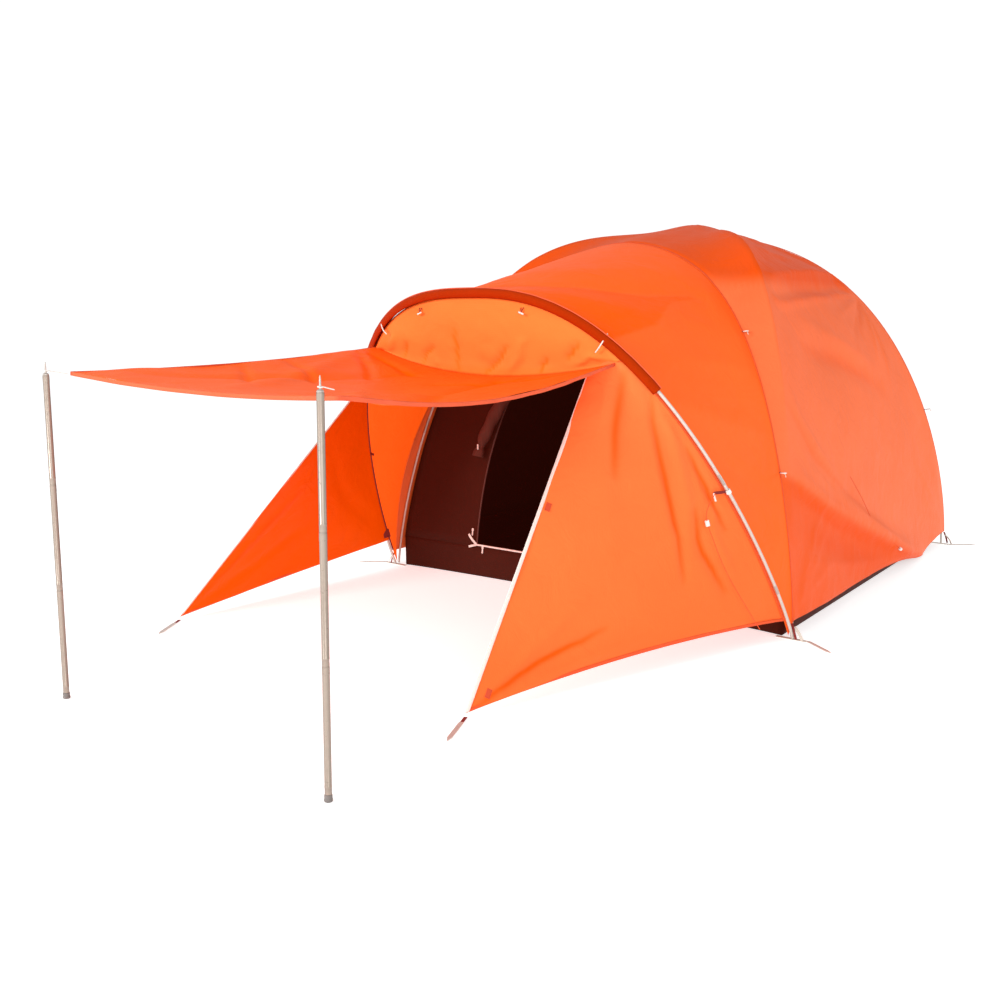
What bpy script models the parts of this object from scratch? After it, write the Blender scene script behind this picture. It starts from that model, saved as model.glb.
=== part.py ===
"""Family dome tent with a large porch: crossed poles, flysheet, inner tent, propped awning.

+X is to the right of someone facing the door, -Y is the door side, +Z is up.
The origin is on the ground, in the middle of the inner tent's floor.
"""
import math
from collections import namedtuple

import bmesh
import bpy
from mathutils import Matrix, Vector

# Overall sizes
FLOOR_WIDTH = 2.02
FLOOR_LENGTH = 2.37
TRAY_WALL = 0.15
FOOT_SPAN = 2.41

# Crossed main poles: the line of the flysheet over each arm, from the peak to a foot
PEAK_HEIGHT = 1.742
PEAK_LIFT = 0.055
FRONT_FOOT = (1.085, -1.205)
REAR_FOOT = (1.112, 1.205)

# Porch hoop and the seam where the porch cloth joins the tent body
HOOP_HALF_WIDTH = 1.085
HOOP_RISE = 1.375
HOOP_LEAN = 0.57
SEAM_HALF_WIDTH = 1.080
SEAM_DROP = 0.094
SEAM_RISE = PEAK_HEIGHT - SEAM_DROP
SEAM_SETBACK = 0.42848
SEAM_LEAN = SEAM_SETBACK / SEAM_RISE
SEAM_BOW = 0.145
EAVE_STATION = 0.46

# Tubes and cloth
MAIN_POLE_RADIUS = 0.0055
HOOP_POLE_RADIUS = 0.0065
SKIN = 0.0012
POLE_TO_SKIN = 0.011
INNER_CLEARANCE = 0.003
INNER_INSET = POLE_TO_SKIN + 4 * MAIN_POLE_RADIUS + INNER_CLEARANCE
SEAM_GAP = 0.0025
TOUCH_GAP = 0.0003
HEM_HEIGHT = 0.065

# Porch and awning
DOOR_TOP = 1.10
DOOR_HALF_WIDTH = 0.60
DOOR_SAG = 0.045
AWNING_REACH = 1.445
AWNING_FRONT_HALF_WIDTH = 0.600
AWNING_SAG = 0.030
SLEEVE_RADIUS = 0.018
WING_TOP_HEIGHT = 1.075
RIGHT_WING_TOP = 0.475
LEFT_WING_TOP = 0.600
RIGHT_WING_CORNER = (0.547, -2.678)
LEFT_WING_CORNER = (-1.098, -2.560)

# Awning poles
PROP_X = 0.622
PROP_Y = -3.363
PROP_HEIGHT = 1.078
PROP_RADIUS = 0.010
PROP_WALL = 0.0012
SPIGOT_LENGTH = 0.050
SPIGOT_CLEARANCE = 0.0004
SPIKE_LENGTH = 0.042
PROP_FOOT_HEIGHT = 0.020

# Inner door
DOORWAY_HALF_WIDTH = 0.57
DOORWAY_RISE = 1.16
DOORWAY_SILL = 0.17

# Small hardware
STAKE_LENGTH = 0.15
STAKE_WIDTH = 0.016
STAKE_THICKNESS = 0.003
STRAP_WIDTH = 0.022
STRAP_THICKNESS = 0.0025

FRONT_Y = -FOOT_SPAN / 2
REAR_Y = FOOT_SPAN / 2
MAIN_INSET = MAIN_POLE_RADIUS + POLE_TO_SKIN
HOOP_INSET = HOOP_POLE_RADIUS + POLE_TO_SKIN

Arch = namedtuple("Arch", "half_width rise side_power top_power foot_y lean bow")
Arm = namedtuple("Arm", "foot side_power top_power")
HOOP = Arch(HOOP_HALF_WIDTH, HOOP_RISE, 2.7, 1.42, FRONT_Y, -HOOP_LEAN, 0.0)
SEAM = Arch(SEAM_HALF_WIDTH, SEAM_RISE, 1.95, 1.95, FRONT_Y, SEAM_LEAN, SEAM_BOW)
FRONT_ARM = Arm(FRONT_FOOT, 3.62, 1.41)
REAR_ARM = Arm(REAR_FOOT, 2.47, 1.68)

COLOURS = {
    "pole": ((0.78, 0.75, 0.70), 0.35, 0.9),
    "fly": ((0.86, 0.20, 0.08), 0.6, 0.0),
    "porch": ((0.95, 0.19, 0.03), 0.6, 0.0),
    "inner": ((0.055, 0.018, 0.012), 0.75, 0.0),
    "webbing": ((0.35, 0.03, 0.03), 0.8, 0.0),
    "plastic": ((0.85, 0.85, 0.82), 0.4, 0.0),
    "rubber": ((0.03, 0.03, 0.03), 0.8, 0.0),
    "cord": ((0.85, 0.84, 0.80), 0.8, 0.0),
}


# ---- scene helpers

def clear_scene():
    for item in list(bpy.data.objects):
        bpy.data.objects.remove(item, do_unlink=True)


def new_collection(name):
    collection = bpy.data.collections.new(name)
    bpy.context.scene.collection.children.link(collection)
    return collection


def make_material(name):
    colour, roughness, metallic = COLOURS[name]
    material = bpy.data.materials.new(name)
    material.use_nodes = True
    shader = material.node_tree.nodes["Principled BSDF"]
    shader.inputs["Base Color"].default_value = (*colour, 1.0)
    shader.inputs["Roughness"].default_value = roughness
    shader.inputs["Metallic"].default_value = metallic
    return material


def add_object(name, data, kind, origin=(0, 0, 0)):
    item = bpy.data.objects.new(name, data)
    item.location = origin
    data.materials.append(MATERIALS[kind])
    PARTS.objects.link(item)
    return item


def sheet(name, point, columns, rows, kind, origin=(0, 0, 0), thickness=SKIN):
    """A cloth panel: a grid laid on point(u, v), with u and v from 0 to 1, given a thickness."""
    builder = bmesh.new()
    bmesh.ops.create_grid(builder, x_segments=columns, y_segments=rows, size=0.5)
    shift = Vector(origin)
    for vertex in builder.verts:
        vertex.co = point(vertex.co.x + 0.5, vertex.co.y + 0.5) - shift
    mesh = bpy.data.meshes.new(name)
    builder.to_mesh(mesh)
    builder.free()
    mesh.shade_smooth()
    item = add_object(name, mesh, kind, origin)
    solid = item.modifiers.new("thickness", "SOLIDIFY")
    solid.thickness = thickness
    solid.offset = 0.0
    return item


def tube(name, points, radius, kind, origin=(0, 0, 0)):
    """A round tube or cord along a line of points."""
    shift = Vector(origin)
    curve = bpy.data.curves.new(name, "CURVE")
    curve.dimensions = "3D"
    curve.bevel_depth = radius
    curve.bevel_resolution = 2
    curve.use_fill_caps = True
    spline = curve.splines.new("POLY")
    spline.points.add(len(points) - 1)
    for target, place in zip(spline.points, points):
        target.co = (*(Vector(place) - shift), 1.0)
    return add_object(name, curve, kind, origin)


def flat_piece(name, outlines, thickness, kind, matrix):
    """A flat piece cut to closed outlines in its own XY plane, then placed by a matrix."""
    curve = bpy.data.curves.new(name, "CURVE")
    curve.dimensions = "2D"
    curve.fill_mode = "BOTH"
    curve.extrude = thickness / 2
    for outline in outlines:
        spline = curve.splines.new("POLY")
        spline.points.add(len(outline) - 1)
        spline.use_cyclic_u = True
        for target, place in zip(spline.points, outline):
            target.co = (place[0], place[1], 0.0, 1.0)
    item = add_object(name, curve, kind)
    item.matrix_world = matrix
    return item


def turned(name, profile, kind, origin, axis=(0, 0, 1), steps=16):
    """A turned piece: profile points (radius, height) run down the outer side."""
    mesh = bpy.data.meshes.new(name)
    builder = bmesh.new()
    corners = [builder.verts.new((radius, 0, height)) for radius, height in profile]
    for first, second in zip(corners, corners[1:]):
        builder.edges.new((first, second))
    if profile[0][0] > 0:
        builder.edges.new((corners[-1], corners[0]))
    builder.to_mesh(mesh)
    builder.free()
    item = add_object(name, mesh, kind, origin)
    item.rotation_euler = Vector(axis).to_track_quat("Z", "Y").to_euler()
    screw = item.modifiers.new("turn", "SCREW")
    screw.steps = steps
    screw.render_steps = steps
    screw.use_merge_vertices = True
    screw.merge_threshold = 0.00001
    screw.use_smooth_shade = True
    return item


def block(name, size, kind, origin, offset=(0, 0, 0), rotation=None):
    """A box of a given size whose origin may lie away from its middle."""
    builder = bmesh.new()
    bmesh.ops.create_cube(builder, size=1.0)
    for vertex in builder.verts:
        vertex.co = Vector(vertex.co) * Vector(size) + Vector(offset)
    mesh = bpy.data.meshes.new(name)
    builder.to_mesh(mesh)
    builder.free()
    item = add_object(name, mesh, kind, origin)
    if rotation:
        item.rotation_euler = rotation
    return item


def cut_with(item, cutter):
    """Cut one object with another, which stays as a guide."""
    cutter.hide_render = True
    cutter.display_type = "WIRE"
    for owner in list(cutter.users_collection):
        owner.objects.unlink(cutter)
    CUTTERS.objects.link(cutter)
    cut = item.modifiers.new("cut", "BOOLEAN")
    cut.operation = "DIFFERENCE"
    cut.object = cutter


# ---- geometry of the tent

def arch_point(arch, s, inset=0.0):
    """Point on an arch: s is -1 at the left foot, 0 at the apex and 1 at the right foot."""
    angle = abs(s) * math.pi / 2
    reach = (arch.half_width - inset) * math.sin(angle) ** (2 / arch.side_power)
    height = (arch.rise - inset) * max(math.cos(angle), 0.0) ** (2 / arch.top_power)
    bow = arch.bow * math.sin(math.pi * min(height / 1.5, 1.0))
    return Vector((math.copysign(reach, s), arch.foot_y + arch.lean * height - bow, height))


def station_at_height(arch, height, inset=0.0):
    """The s at which an arch reaches a height."""
    share = (height / (arch.rise - inset)) ** (arch.top_power / 2)
    return math.acos(share) * 2 / math.pi


def arch_line(arch, inset, foot_height, count):
    """Points along a pole, evenly spread in angle, with both ends at the foot height."""
    limit = station_at_height(arch, foot_height, inset)
    return [arch_point(arch, limit * (2 * i / count - 1), inset) for i in range(count + 1)]


def arm_point(side, end, k, inset=0.0, lift=PEAK_LIFT):
    """Point on a main pole arm: k is 0 at the peak and 1 at the foot.

    side is 1 on the right and -1 on the left; end is -1 at the front and 1 at the rear.
    """
    arm = REAR_ARM if end > 0 else FRONT_ARM
    angle = math.pi / 2 * k ** 1.6
    foot = Vector((side * arm.foot[0], arm.foot[1], 0.0))
    reach = (foot.length - inset) * math.sin(angle) ** (2 / arm.side_power)
    height = (PEAK_HEIGHT - inset) * max(math.cos(angle), 0.0) ** (2 / arm.top_power)
    place = foot.normalized() * reach
    place.z = height + lift * math.exp(-(reach / 0.2) ** 2)
    return place


def arm_station(end, height, inset=0.0):
    """The k at which an arm comes down to a height."""
    arm = REAR_ARM if end > 0 else FRONT_ARM
    share = (height / (PEAK_HEIGHT - inset)) ** (arm.top_power / 2)
    return (math.acos(share) * 2 / math.pi) ** (1 / 1.6)


def front_arms(s, inset=0.0, lift=PEAK_LIFT):
    """Both front arms as one line: s is -1 at the left foot, 0 at the peak, 1 at the right foot."""
    return arm_point(math.copysign(1, s), -1, abs(s), inset, lift)


def body_point(first, second, k, v, inset=0.0, lift=PEAK_LIFT):
    """Point on a side of the body between two arms, each given as (side, end)."""
    start = arm_point(*first, spread(PEAK_START, arm_foot(first, inset), k), inset, lift)
    finish = arm_point(*second, spread(PEAK_START, arm_foot(second, inset), k), inset, lift)
    return start.lerp(finish, v)


def arm_foot(arm, inset):
    """Where the cloth ends on an arm: at the hem outside, above the tray inside."""
    low = HEM_HEIGHT if inset == 0.0 else TRAY_WALL + 0.010
    return arm_station(arm[1], low, inset)


def gore_point(s, v):
    """Point on the porch cloth: hoop (v = 0), seam (v = 1), front arms (v = 2)."""
    seam = arch_point(SEAM, s)
    if v <= 1:
        return arch_point(HOOP, s, HOOP_INSET).lerp(seam, v)
    return seam.lerp(front_arms(s), v - 1)


PEAK_START = 0.012


def spread(low, high, share):
    return low + (high - low) * share


def frame(origin, along, normal):
    """A placing matrix whose X runs along a direction and whose Z is near a normal."""
    x_axis = Vector(along).normalized()
    z_axis = Vector(normal)
    z_axis = (z_axis - z_axis.dot(x_axis) * x_axis).normalized()
    y_axis = z_axis.cross(x_axis)
    matrix = Matrix((x_axis, y_axis, z_axis)).transposed().to_4x4()
    matrix.translation = Vector(origin)
    return matrix


# ---- frame poles

def main_pole_line(first, second, drop):
    """A main pole from one foot over the peak to the opposite foot."""
    inset = MAIN_INSET
    low = STRAP_THICKNESS + POLE_END_GAP
    line = []
    for arm, way in ((first, -1), (second, 1)):
        foot = arm_station(arm[1], low, inset)
        shares = [i / 20 for i in range(20, -1, -1)] if way < 0 else [i / 20 for i in range(1, 21)]
        for share in shares:
            place = arm_point(*arm, foot * share, inset, 0.0)
            place.z -= drop * math.exp(-(math.hypot(place.x, place.y) / 0.12) ** 2)
            line.append(place)
    return line


def build_frame():
    under = 2 * MAIN_POLE_RADIUS + CROSSING_GAP
    tube("main_pole_a", main_pole_line((-1, -1), (1, 1), under), MAIN_POLE_RADIUS, "pole")
    tube("main_pole_b", main_pole_line((1, -1), (-1, 1), 0.0), MAIN_POLE_RADIUS, "pole")
    foot = STRAP_THICKNESS + POLE_END_GAP
    tube("porch_hoop_pole", arch_line(HOOP, 0.0, foot, 44), HOOP_POLE_RADIUS, "pole")
    seat = PEAK_HEIGHT - MAIN_INSET + MAIN_POLE_RADIUS + CROSSING_GAP
    top = PEAK_HEIGHT + PEAK_LIFT - 0.006
    cap = [(0, top), (0.010, top - 0.003), (0.020, top - 0.018), (0.026, seat + 0.006),
           (0.026, seat), (0, seat)]
    turned("peak_hub", cap, "plastic", (0, 0, 0))


POLE_END_GAP = 0.004
CROSSING_GAP = 0.0015
PEAK_GAP = 0.03
FRONT_PANEL_LOW = 0.45
RIGHT_FRONT, LEFT_FRONT = (1, -1), (-1, -1)
RIGHT_REAR, LEFT_REAR = (1, 1), (-1, 1)


# ---- flysheet

def build_flysheet():
    near = SEAM_GAP / FOOT_SPAN

    def body_panel(name, first, second):
        def place(u, v):
            edge = near + PEAK_GAP * max(0.0, 1 - 8 * u)
            return body_point(first, second, u, spread(edge, 1 - edge, v))

        sheet(name, place, 14, 9, "fly")

    body_panel("fly_right_side", RIGHT_FRONT, RIGHT_REAR)
    body_panel("fly_left_side", LEFT_FRONT, LEFT_REAR)
    body_panel("fly_rear_wall", LEFT_REAR, RIGHT_REAR)
    hem = station_at_height(SEAM, HEM_HEIGHT)
    low = station_at_height(SEAM, FRONT_PANEL_LOW)
    gap = SEAM_GAP / 2

    def gore_panel(name, low, high, first, last, columns, rows, kind):
        sheet(name, lambda u, v: gore_point(spread(low, high, u), spread(first, last, v)),
              columns, rows, kind)

    gore_panel("fly_front_panel", -low, low, 1.008, 1.985, 28, 4, "fly")
    gore_panel("porch_roof", -EAVE_STATION + gap, EAVE_STATION - gap, 0.03, 0.997, 14, 6, "porch")
    gore_panel("porch_right_side", EAVE_STATION + gap, hem, 0.03, 0.997, 9, 6, "porch")
    gore_panel("porch_left_side", -hem, -EAVE_STATION - gap, 0.03, 0.997, 9, 6, "porch")


# ---- porch wings, brow, sleeve and awning

def wing_point(side, corner, u, v):
    """Porch wing: from the hoop (u = 0) to its zipped front edge (u = 1), v = 1 at the ground."""
    high = station_at_height(HOOP, WING_TOP_HEIGHT - 0.02, HOOP_INSET)
    low = station_at_height(HOOP, HEM_HEIGHT * 0.5, HOOP_INSET)
    back = arch_point(HOOP, side * spread(high, low, v), HOOP_INSET)
    front = wing_edge(side, corner, v)
    return back.lerp(front, spread(0.03, 1.0, u))


def wing_edge(side, corner, v):
    """The straight zipped edge of a wing, from the door's top corner to the stake."""
    half = RIGHT_WING_TOP if side > 0 else LEFT_WING_TOP
    top_y = FRONT_Y - HOOP_LEAN * DOOR_TOP
    top = Vector((side * half, top_y - 0.02, WING_TOP_HEIGHT - DOOR_SAG))
    return top.lerp(Vector((*corner, 0.012)), v)


def brow_point(u, v):
    """Front face above the door: from the hoop (v = 0) down to the awning's hinge (v = 1)."""
    limit = station_at_height(HOOP, DOOR_TOP + 0.02, HOOP_INSET)
    across = 2 * u - 1
    top = arch_point(HOOP, across * limit, HOOP_INSET)
    top.y -= 0.004
    sag = DOOR_SAG * (1 - across ** 2)
    bottom = Vector((across * DOOR_HALF_WIDTH, AWNING_Y, DOOR_TOP - sag))
    return top.lerp(bottom, v)


def awning_point(u, v):
    """Door panel propped out as an awning: hinge (v = 0) to the front edge (v = 1)."""
    across = 2 * u - 1
    half = spread(DOOR_HALF_WIDTH - 0.01, AWNING_FRONT_HALF_WIDTH, v)
    sag = AWNING_SAG * 4 * v * (1 - v) * (0.4 + 0.6 * across ** 2)
    droop = (DOOR_SAG * (1 - v) + 0.012 * v) * (1 - across ** 2)
    rise = AWNING_RISE * v
    return Vector((across * half, AWNING_Y - AWNING_REACH * v - 0.006,
                   AWNING_Z + rise - sag - droop))


AWNING_Y = FRONT_Y - HOOP_LEAN * DOOR_TOP - 0.004
AWNING_Z = DOOR_TOP - 0.012
AWNING_RISE = -0.014


def sleeve_point(u, v):
    """Pole sleeve: a half pipe of cloth over the top of the hoop."""
    limit = station_at_height(HOOP, DOOR_TOP - 0.08)
    s = spread(-limit, limit, u)
    place = arch_point(HOOP, s)
    ahead = arch_point(HOOP, s + 0.001) - arch_point(HOOP, s - 0.001)
    normal = Vector((0, 1, HOOP_LEAN)).normalized()
    outward = normal.cross(ahead).normalized()
    if outward.z < 0:
        outward = -outward
    angle = math.radians(spread(-80, 80, v))
    return place + SLEEVE_RADIUS * (math.cos(angle) * outward + math.sin(angle) * normal)


def build_porch():
    sheet("right_wing", lambda u, v: wing_point(1, RIGHT_WING_CORNER, u, v), 8, 10, "porch")
    sheet("left_wing", lambda u, v: wing_point(-1, LEFT_WING_CORNER, u, v), 8, 10, "porch")
    sheet("door_brow", brow_point, 14, 4, "porch")
    sheet("hoop_sleeve", sleeve_point, 26, 4, "porch")
    sheet("awning_panel", awning_point, 10, 12, "porch", (0, AWNING_Y, AWNING_Z))


# ---- inner tent

def tray_mesh():
    """Bathtub floor: an open box whose front and rear walls lean with the arches."""
    builder = bmesh.new()
    bmesh.ops.create_cube(builder, size=1.0)
    top = [face for face in builder.faces if face.normal.z > 0.5]
    bmesh.ops.delete(builder, geom=top, context="FACES_ONLY")
    for vertex in builder.verts:
        high = vertex.co.z > 0
        half_length = FLOOR_LENGTH / 2 - (FRONT_WALL_LEAN * TRAY_WALL if high else 0.0)
        vertex.co.x = math.copysign(FLOOR_WIDTH / 2, vertex.co.x)
        vertex.co.y = math.copysign(half_length, vertex.co.y)
        vertex.co.z = TRAY_WALL if high else 0.0
    mesh = bpy.data.meshes.new("floor_tray")
    builder.to_mesh(mesh)
    builder.free()
    return mesh


def doorway_outline():
    """The door's cut-out in the inner front wall, seen from the front as (x, z)."""
    outline = []
    for i in range(25):
        angle = math.pi * i / 24
        x = math.copysign(abs(math.cos(angle)) ** 0.8, math.cos(angle)) * DOORWAY_HALF_WIDTH
        outline.append((x, DOORWAY_SILL + DOORWAY_RISE * math.sin(angle) ** 0.9))
    return outline


def doorway_cutter():
    """A prism through the inner front wall in the shape of the doorway."""
    builder = bmesh.new()
    outline = doorway_outline()
    front = [builder.verts.new((x, FRONT_Y - 0.1, z)) for x, z in outline]
    back = [builder.verts.new((x, -0.5, z)) for x, z in outline]
    builder.faces.new(front)
    builder.faces.new(list(reversed(back)))
    for i in range(len(outline)):
        after = (i + 1) % len(outline)
        builder.faces.new((front[i], back[i], back[after], front[after]))
    bmesh.ops.recalc_face_normals(builder, faces=builder.faces)
    mesh = bpy.data.meshes.new("doorway_cutter")
    builder.to_mesh(mesh)
    builder.free()
    return add_object("doorway_cutter", mesh, "inner")


def front_wall_spot(x, height):
    """Point on the inner front wall at a height, with the wall's outward normal."""
    k = arm_station(-1, height, INNER_INSET)
    place = arm_point(1, -1, k, INNER_INSET, 0.0)
    above = arm_point(1, -1, arm_station(-1, height + 0.01, INNER_INSET), INNER_INSET, 0.0)
    slope = (above.y - place.y) / 0.01
    return Vector((x, place.y, height)), Vector((0, -1, slope)).normalized()


def build_inner():
    tray = add_object("floor_tray", tray_mesh(), "inner")
    solid = tray.modifiers.new("thickness", "SOLIDIFY")
    solid.thickness = TRAY_SKIN
    solid.offset = -1.0

    def panel(name, first, second, rows):
        return sheet(name, lambda u, v: body_point(first, second, u, spread(0.003, 0.997, v),
                                                   INNER_INSET, 0.0), 14, rows, "inner")

    panel("inner_right_wall", RIGHT_FRONT, RIGHT_REAR, 7)
    panel("inner_left_wall", LEFT_FRONT, LEFT_REAR, 7)
    panel("inner_rear_wall", LEFT_REAR, RIGHT_REAR, 7)
    cut_with(panel("inner_front_wall", LEFT_FRONT, RIGHT_FRONT, 7), doorway_cutter())


TRAY_SKIN = 0.002
FRONT_WALL_LEAN = 0.10


# ---- awning poles

def prop_section(name, bottom, top, spigot, origin, kind="pole"):
    """One tube of an awning pole, with or without a spigot for the next one."""
    inner = PROP_RADIUS - PROP_WALL
    neck = inner - SPIGOT_CLEARANCE
    profile = []
    if spigot:
        profile += [(neck, top + SPIGOT_LENGTH), (neck, top), (PROP_RADIUS, top)]
        profile += [(PROP_RADIUS, bottom), (inner, bottom), (inner, top - 0.006)]
        profile += [(neck - PROP_WALL, top - 0.002), (neck - PROP_WALL, top + SPIGOT_LENGTH)]
    else:
        profile += [(PROP_RADIUS, top), (PROP_RADIUS, bottom), (inner, bottom), (inner, top)]
    shifted = [(radius, height - origin[2]) for radius, height in profile]
    return turned(name, shifted, kind, origin)


def build_prop(side_name, side):
    x = side * PROP_X
    base = PROP_FOOT_HEIGHT
    step = (PROP_HEIGHT - base) / 3
    names = ("lower", "middle", "upper")
    for i, part in enumerate(names):
        bottom = base + step * i + (TOUCH_GAP if i else TOUCH_GAP)
        top = base + step * (i + 1)
        pivot = 0.0 if i == 0 else bottom
        prop_section(f"{side_name}_prop_{part}", bottom, top, i < 2, (x, PROP_Y, pivot))
    plug = PROP_RADIUS - PROP_WALL - SPIGOT_CLEARANCE
    foot = [(0, 0.030), (plug, 0.030), (plug, base), (PROP_RADIUS + 0.001, base),
            (PROP_RADIUS + 0.002, 0.0), (0, 0.0)]
    turned(f"{side_name}_prop_foot", foot, "rubber", (x, PROP_Y, 0.0))
    top = PROP_HEIGHT + TOUCH_GAP
    spike = [(0, top + SPIKE_LENGTH), (0.0015, top + SPIKE_LENGTH - 0.001), (0.0025, top + 0.030),
             (0.0028, top + 0.008), (0.0092, top + 0.004), (0.0092, top), (plug, top),
             (plug, top - 0.015), (0, top - 0.015)]
    turned(f"{side_name}_prop_spike", spike, "pole", (x, PROP_Y, 0.0))
    tube(f"{side_name}_corner_cord", corner_cord(side), CORD_RADIUS, "cord")


CORD_RADIUS = 0.0016
CORNER_CORD = ((0.0000, 0.0058, 1.090), (0.0050, 0.0029, 1.0905), (0.0050, -0.0029, 1.091),
               (0.0000, -0.0058, 1.0915), (-0.0050, -0.0029, 1.092), (-0.0056, 0.0035, 1.0925),
               (-0.0064, 0.0110, 1.0915), (-0.0090, 0.0300, 1.0880), (-0.0130, 0.0500, 1.0840),
               (-0.0165, 0.0640, 1.0815))


def corner_cord(side):
    """The cord looped round a pole's spike and tied to the awning's corner."""
    return [(side * (PROP_X + x), PROP_Y + y, z) for x, y, z in CORNER_CORD]


# ---- stakes and webbing

def stake_outline():
    """Flat stake with a round head and a pointed tip, its head centred on the origin."""
    half = STAKE_WIDTH / 2
    head = [(half * math.cos(a), half * math.sin(a)) for a in
            [math.pi / 2 + math.pi * i / 8 for i in range(9)]]
    return head + [(STAKE_LENGTH - 0.03, -half), (STAKE_LENGTH, 0.0), (STAKE_LENGTH - 0.03, half)]


def build_stake(name, place, heading):
    """A stake lying on the ground with its head at a place, pointing along a heading."""
    level = STAKE_THICKNESS / 2 + TOUCH_GAP
    matrix = frame((place[0], place[1], level), (*heading, 0), (0, 0, 1))
    flat_piece(name, [stake_outline()], STAKE_THICKNESS, "pole", matrix)


def build_strap(name, start, end, width=STRAP_WIDTH):
    """A flat piece of webbing on the ground between two places."""
    first = Vector((*start, STRAP_THICKNESS / 2 + TOUCH_GAP / 2))
    last = Vector((*end, STRAP_THICKNESS / 2 + TOUCH_GAP / 2))
    length = (last - first).length
    outline = [(0, -width / 2), (length, -width / 2), (length, width / 2), (0, width / 2)]
    matrix = frame(first, last - first, (0, 0, 1))
    flat_piece(name, [outline], STRAP_THICKNESS - TOUCH_GAP, "webbing", matrix)


def build_ground_points():
    clear = STAKE_WIDTH / 2 + 0.001
    corners = (("right_front", 1, FRONT_Y, -1), ("left_front", -1, FRONT_Y, -1),
               ("right_rear", 1, REAR_Y, 1), ("left_rear", -1, REAR_Y, 1))
    for name, side, y, end in corners:
        half = REAR_FOOT[0] + 0.03
        heading = Vector((side * 0.8, end * 0.6)).normalized()
        start = (side * (FLOOR_WIDTH / 2 + TRAY_SKIN + 0.002), y)
        finish = (side * half, y)
        build_strap(f"{name}_strap", start, finish)
        head = Vector(finish) + Vector((side * clear, 0))
        build_stake(f"{name}_stake", head, heading)
    for name, corner, heading in (("right_wing", RIGHT_WING_CORNER, (0.37, -0.93)),
                                  ("left_wing", LEFT_WING_CORNER, (0.5, -0.87))):
        way = Vector(heading).normalized()
        start = Vector(corner) + way * 0.004
        finish = start + way * 0.045
        build_strap(f"{name}_loop", start, finish, 0.012)
        build_stake(f"{name}_stake", finish + way * clear, heading)


# ---- zip sliders, clips and toggles

def slider_outline():
    """Zip slider with its pull tab, the tab towards -Y."""
    return [(-0.005, 0.0), (0.005, 0.0), (0.006, -0.010), (0.003, -0.014), (0.004, -0.034),
            (0.0, -0.038), (-0.004, -0.034), (-0.003, -0.014), (-0.006, -0.010)]


def build_sliders():
    for name, side, corner in (("right_wing", 1, RIGHT_WING_CORNER),
                               ("left_wing", -1, LEFT_WING_CORNER)):
        top = wing_edge(side, corner, 0.06)
        way = (wing_edge(side, corner, 1.0) - wing_edge(side, corner, 0.0)).normalized()
        inward = Vector((-side, 0, 0))
        outward = way.cross(inward).cross(way).normalized()
        matrix = frame(top + outward * 0.0085, way.cross(outward), outward)
        flat_piece(f"{name}_zip_slider", [slider_outline()], 0.004, "plastic", matrix)
    for name, x, height in (("sill", -DOORWAY_HALF_WIDTH + 0.04, DOORWAY_SILL - 0.006),
                            ("side", -DOORWAY_HALF_WIDTH - 0.03, DOORWAY_SILL + 0.075)):
        front, normal = front_wall_spot(x, height)
        place = frame(front + normal * 0.007, (1, 0, 0), normal)
        flat_piece(f"door_{name}_slider", [slider_outline()], 0.003, "plastic", place)


def build_clips():
    for name, side in (("right", 1), ("left", -1)):
        s = side * station_at_height(HOOP, HOOP_CLIP_HEIGHT)
        place = arch_point(HOOP, s)
        way = arch_point(HOOP, s + 0.002) - arch_point(HOOP, s - 0.002)
        ring = [(HOOP_POLE_RADIUS + 0.004, 0.008), (HOOP_POLE_RADIUS + 0.004, -0.008),
                (HOOP_POLE_RADIUS + 0.001, -0.008), (HOOP_POLE_RADIUS + 0.001, 0.008)]
        turned(f"{name}_hoop_clip", ring, "plastic", place, way)
    for name, s in (("left", -0.09), ("right", 0.09)):
        pivot = arch_point(HOOP, s, HOOP_INSET) + Vector((0, -0.006, -0.035))
        toggle = [(0, 0.0), (0.0012, 0.0), (0.0012, -0.016), (0.004, -0.018), (0.0045, -0.024),
                  (0.0045, -0.042), (0.003, -0.046), (0, -0.046)]
        turned(f"{name}_brow_toggle", toggle, "plastic", pivot, steps=12)


HOOP_CLIP_HEIGHT = 0.64


def build_door_roll():
    """The inner door, rolled and tied along the left side of the doorway."""
    points = []
    for i in range(13):
        share = i / 12
        x = spread(-DOORWAY_HALF_WIDTH - 0.02, -0.28, share ** 1.4)
        place, normal = front_wall_spot(x, spread(0.60, 1.22, share))
        points.append(place + normal * 0.034)
    tube("door_roll", points, 0.022, "inner")
    tie = points[1] + Vector((0, -0.034, 0))
    toggle = [(0, 0.014), (0.003, 0.013), (0.004, 0.010), (0.004, -0.010), (0.003, -0.013),
              (0, -0.014)]
    turned("door_tie_toggle", toggle, "plastic", tie, (0, 0, 1), 12)


# ---- guy lines

TENSION_LINE = ((0.910, -1.640, 0.640), (0.893, -1.672, 0.560), (0.915, -1.645, 0.460),
                (0.945, -1.590, 0.340), (0.985, -1.520, 0.220), (1.030, -1.430, 0.085))
SIDE_GUY = ((1.048, -0.470, 0.585), (1.066, -0.330, 0.470), (1.086, -0.180, 0.335),
            (1.110, 0.030, 0.220), (1.132, 0.240, 0.120))


TENSIONER_CLEARANCE = 0.0018


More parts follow.
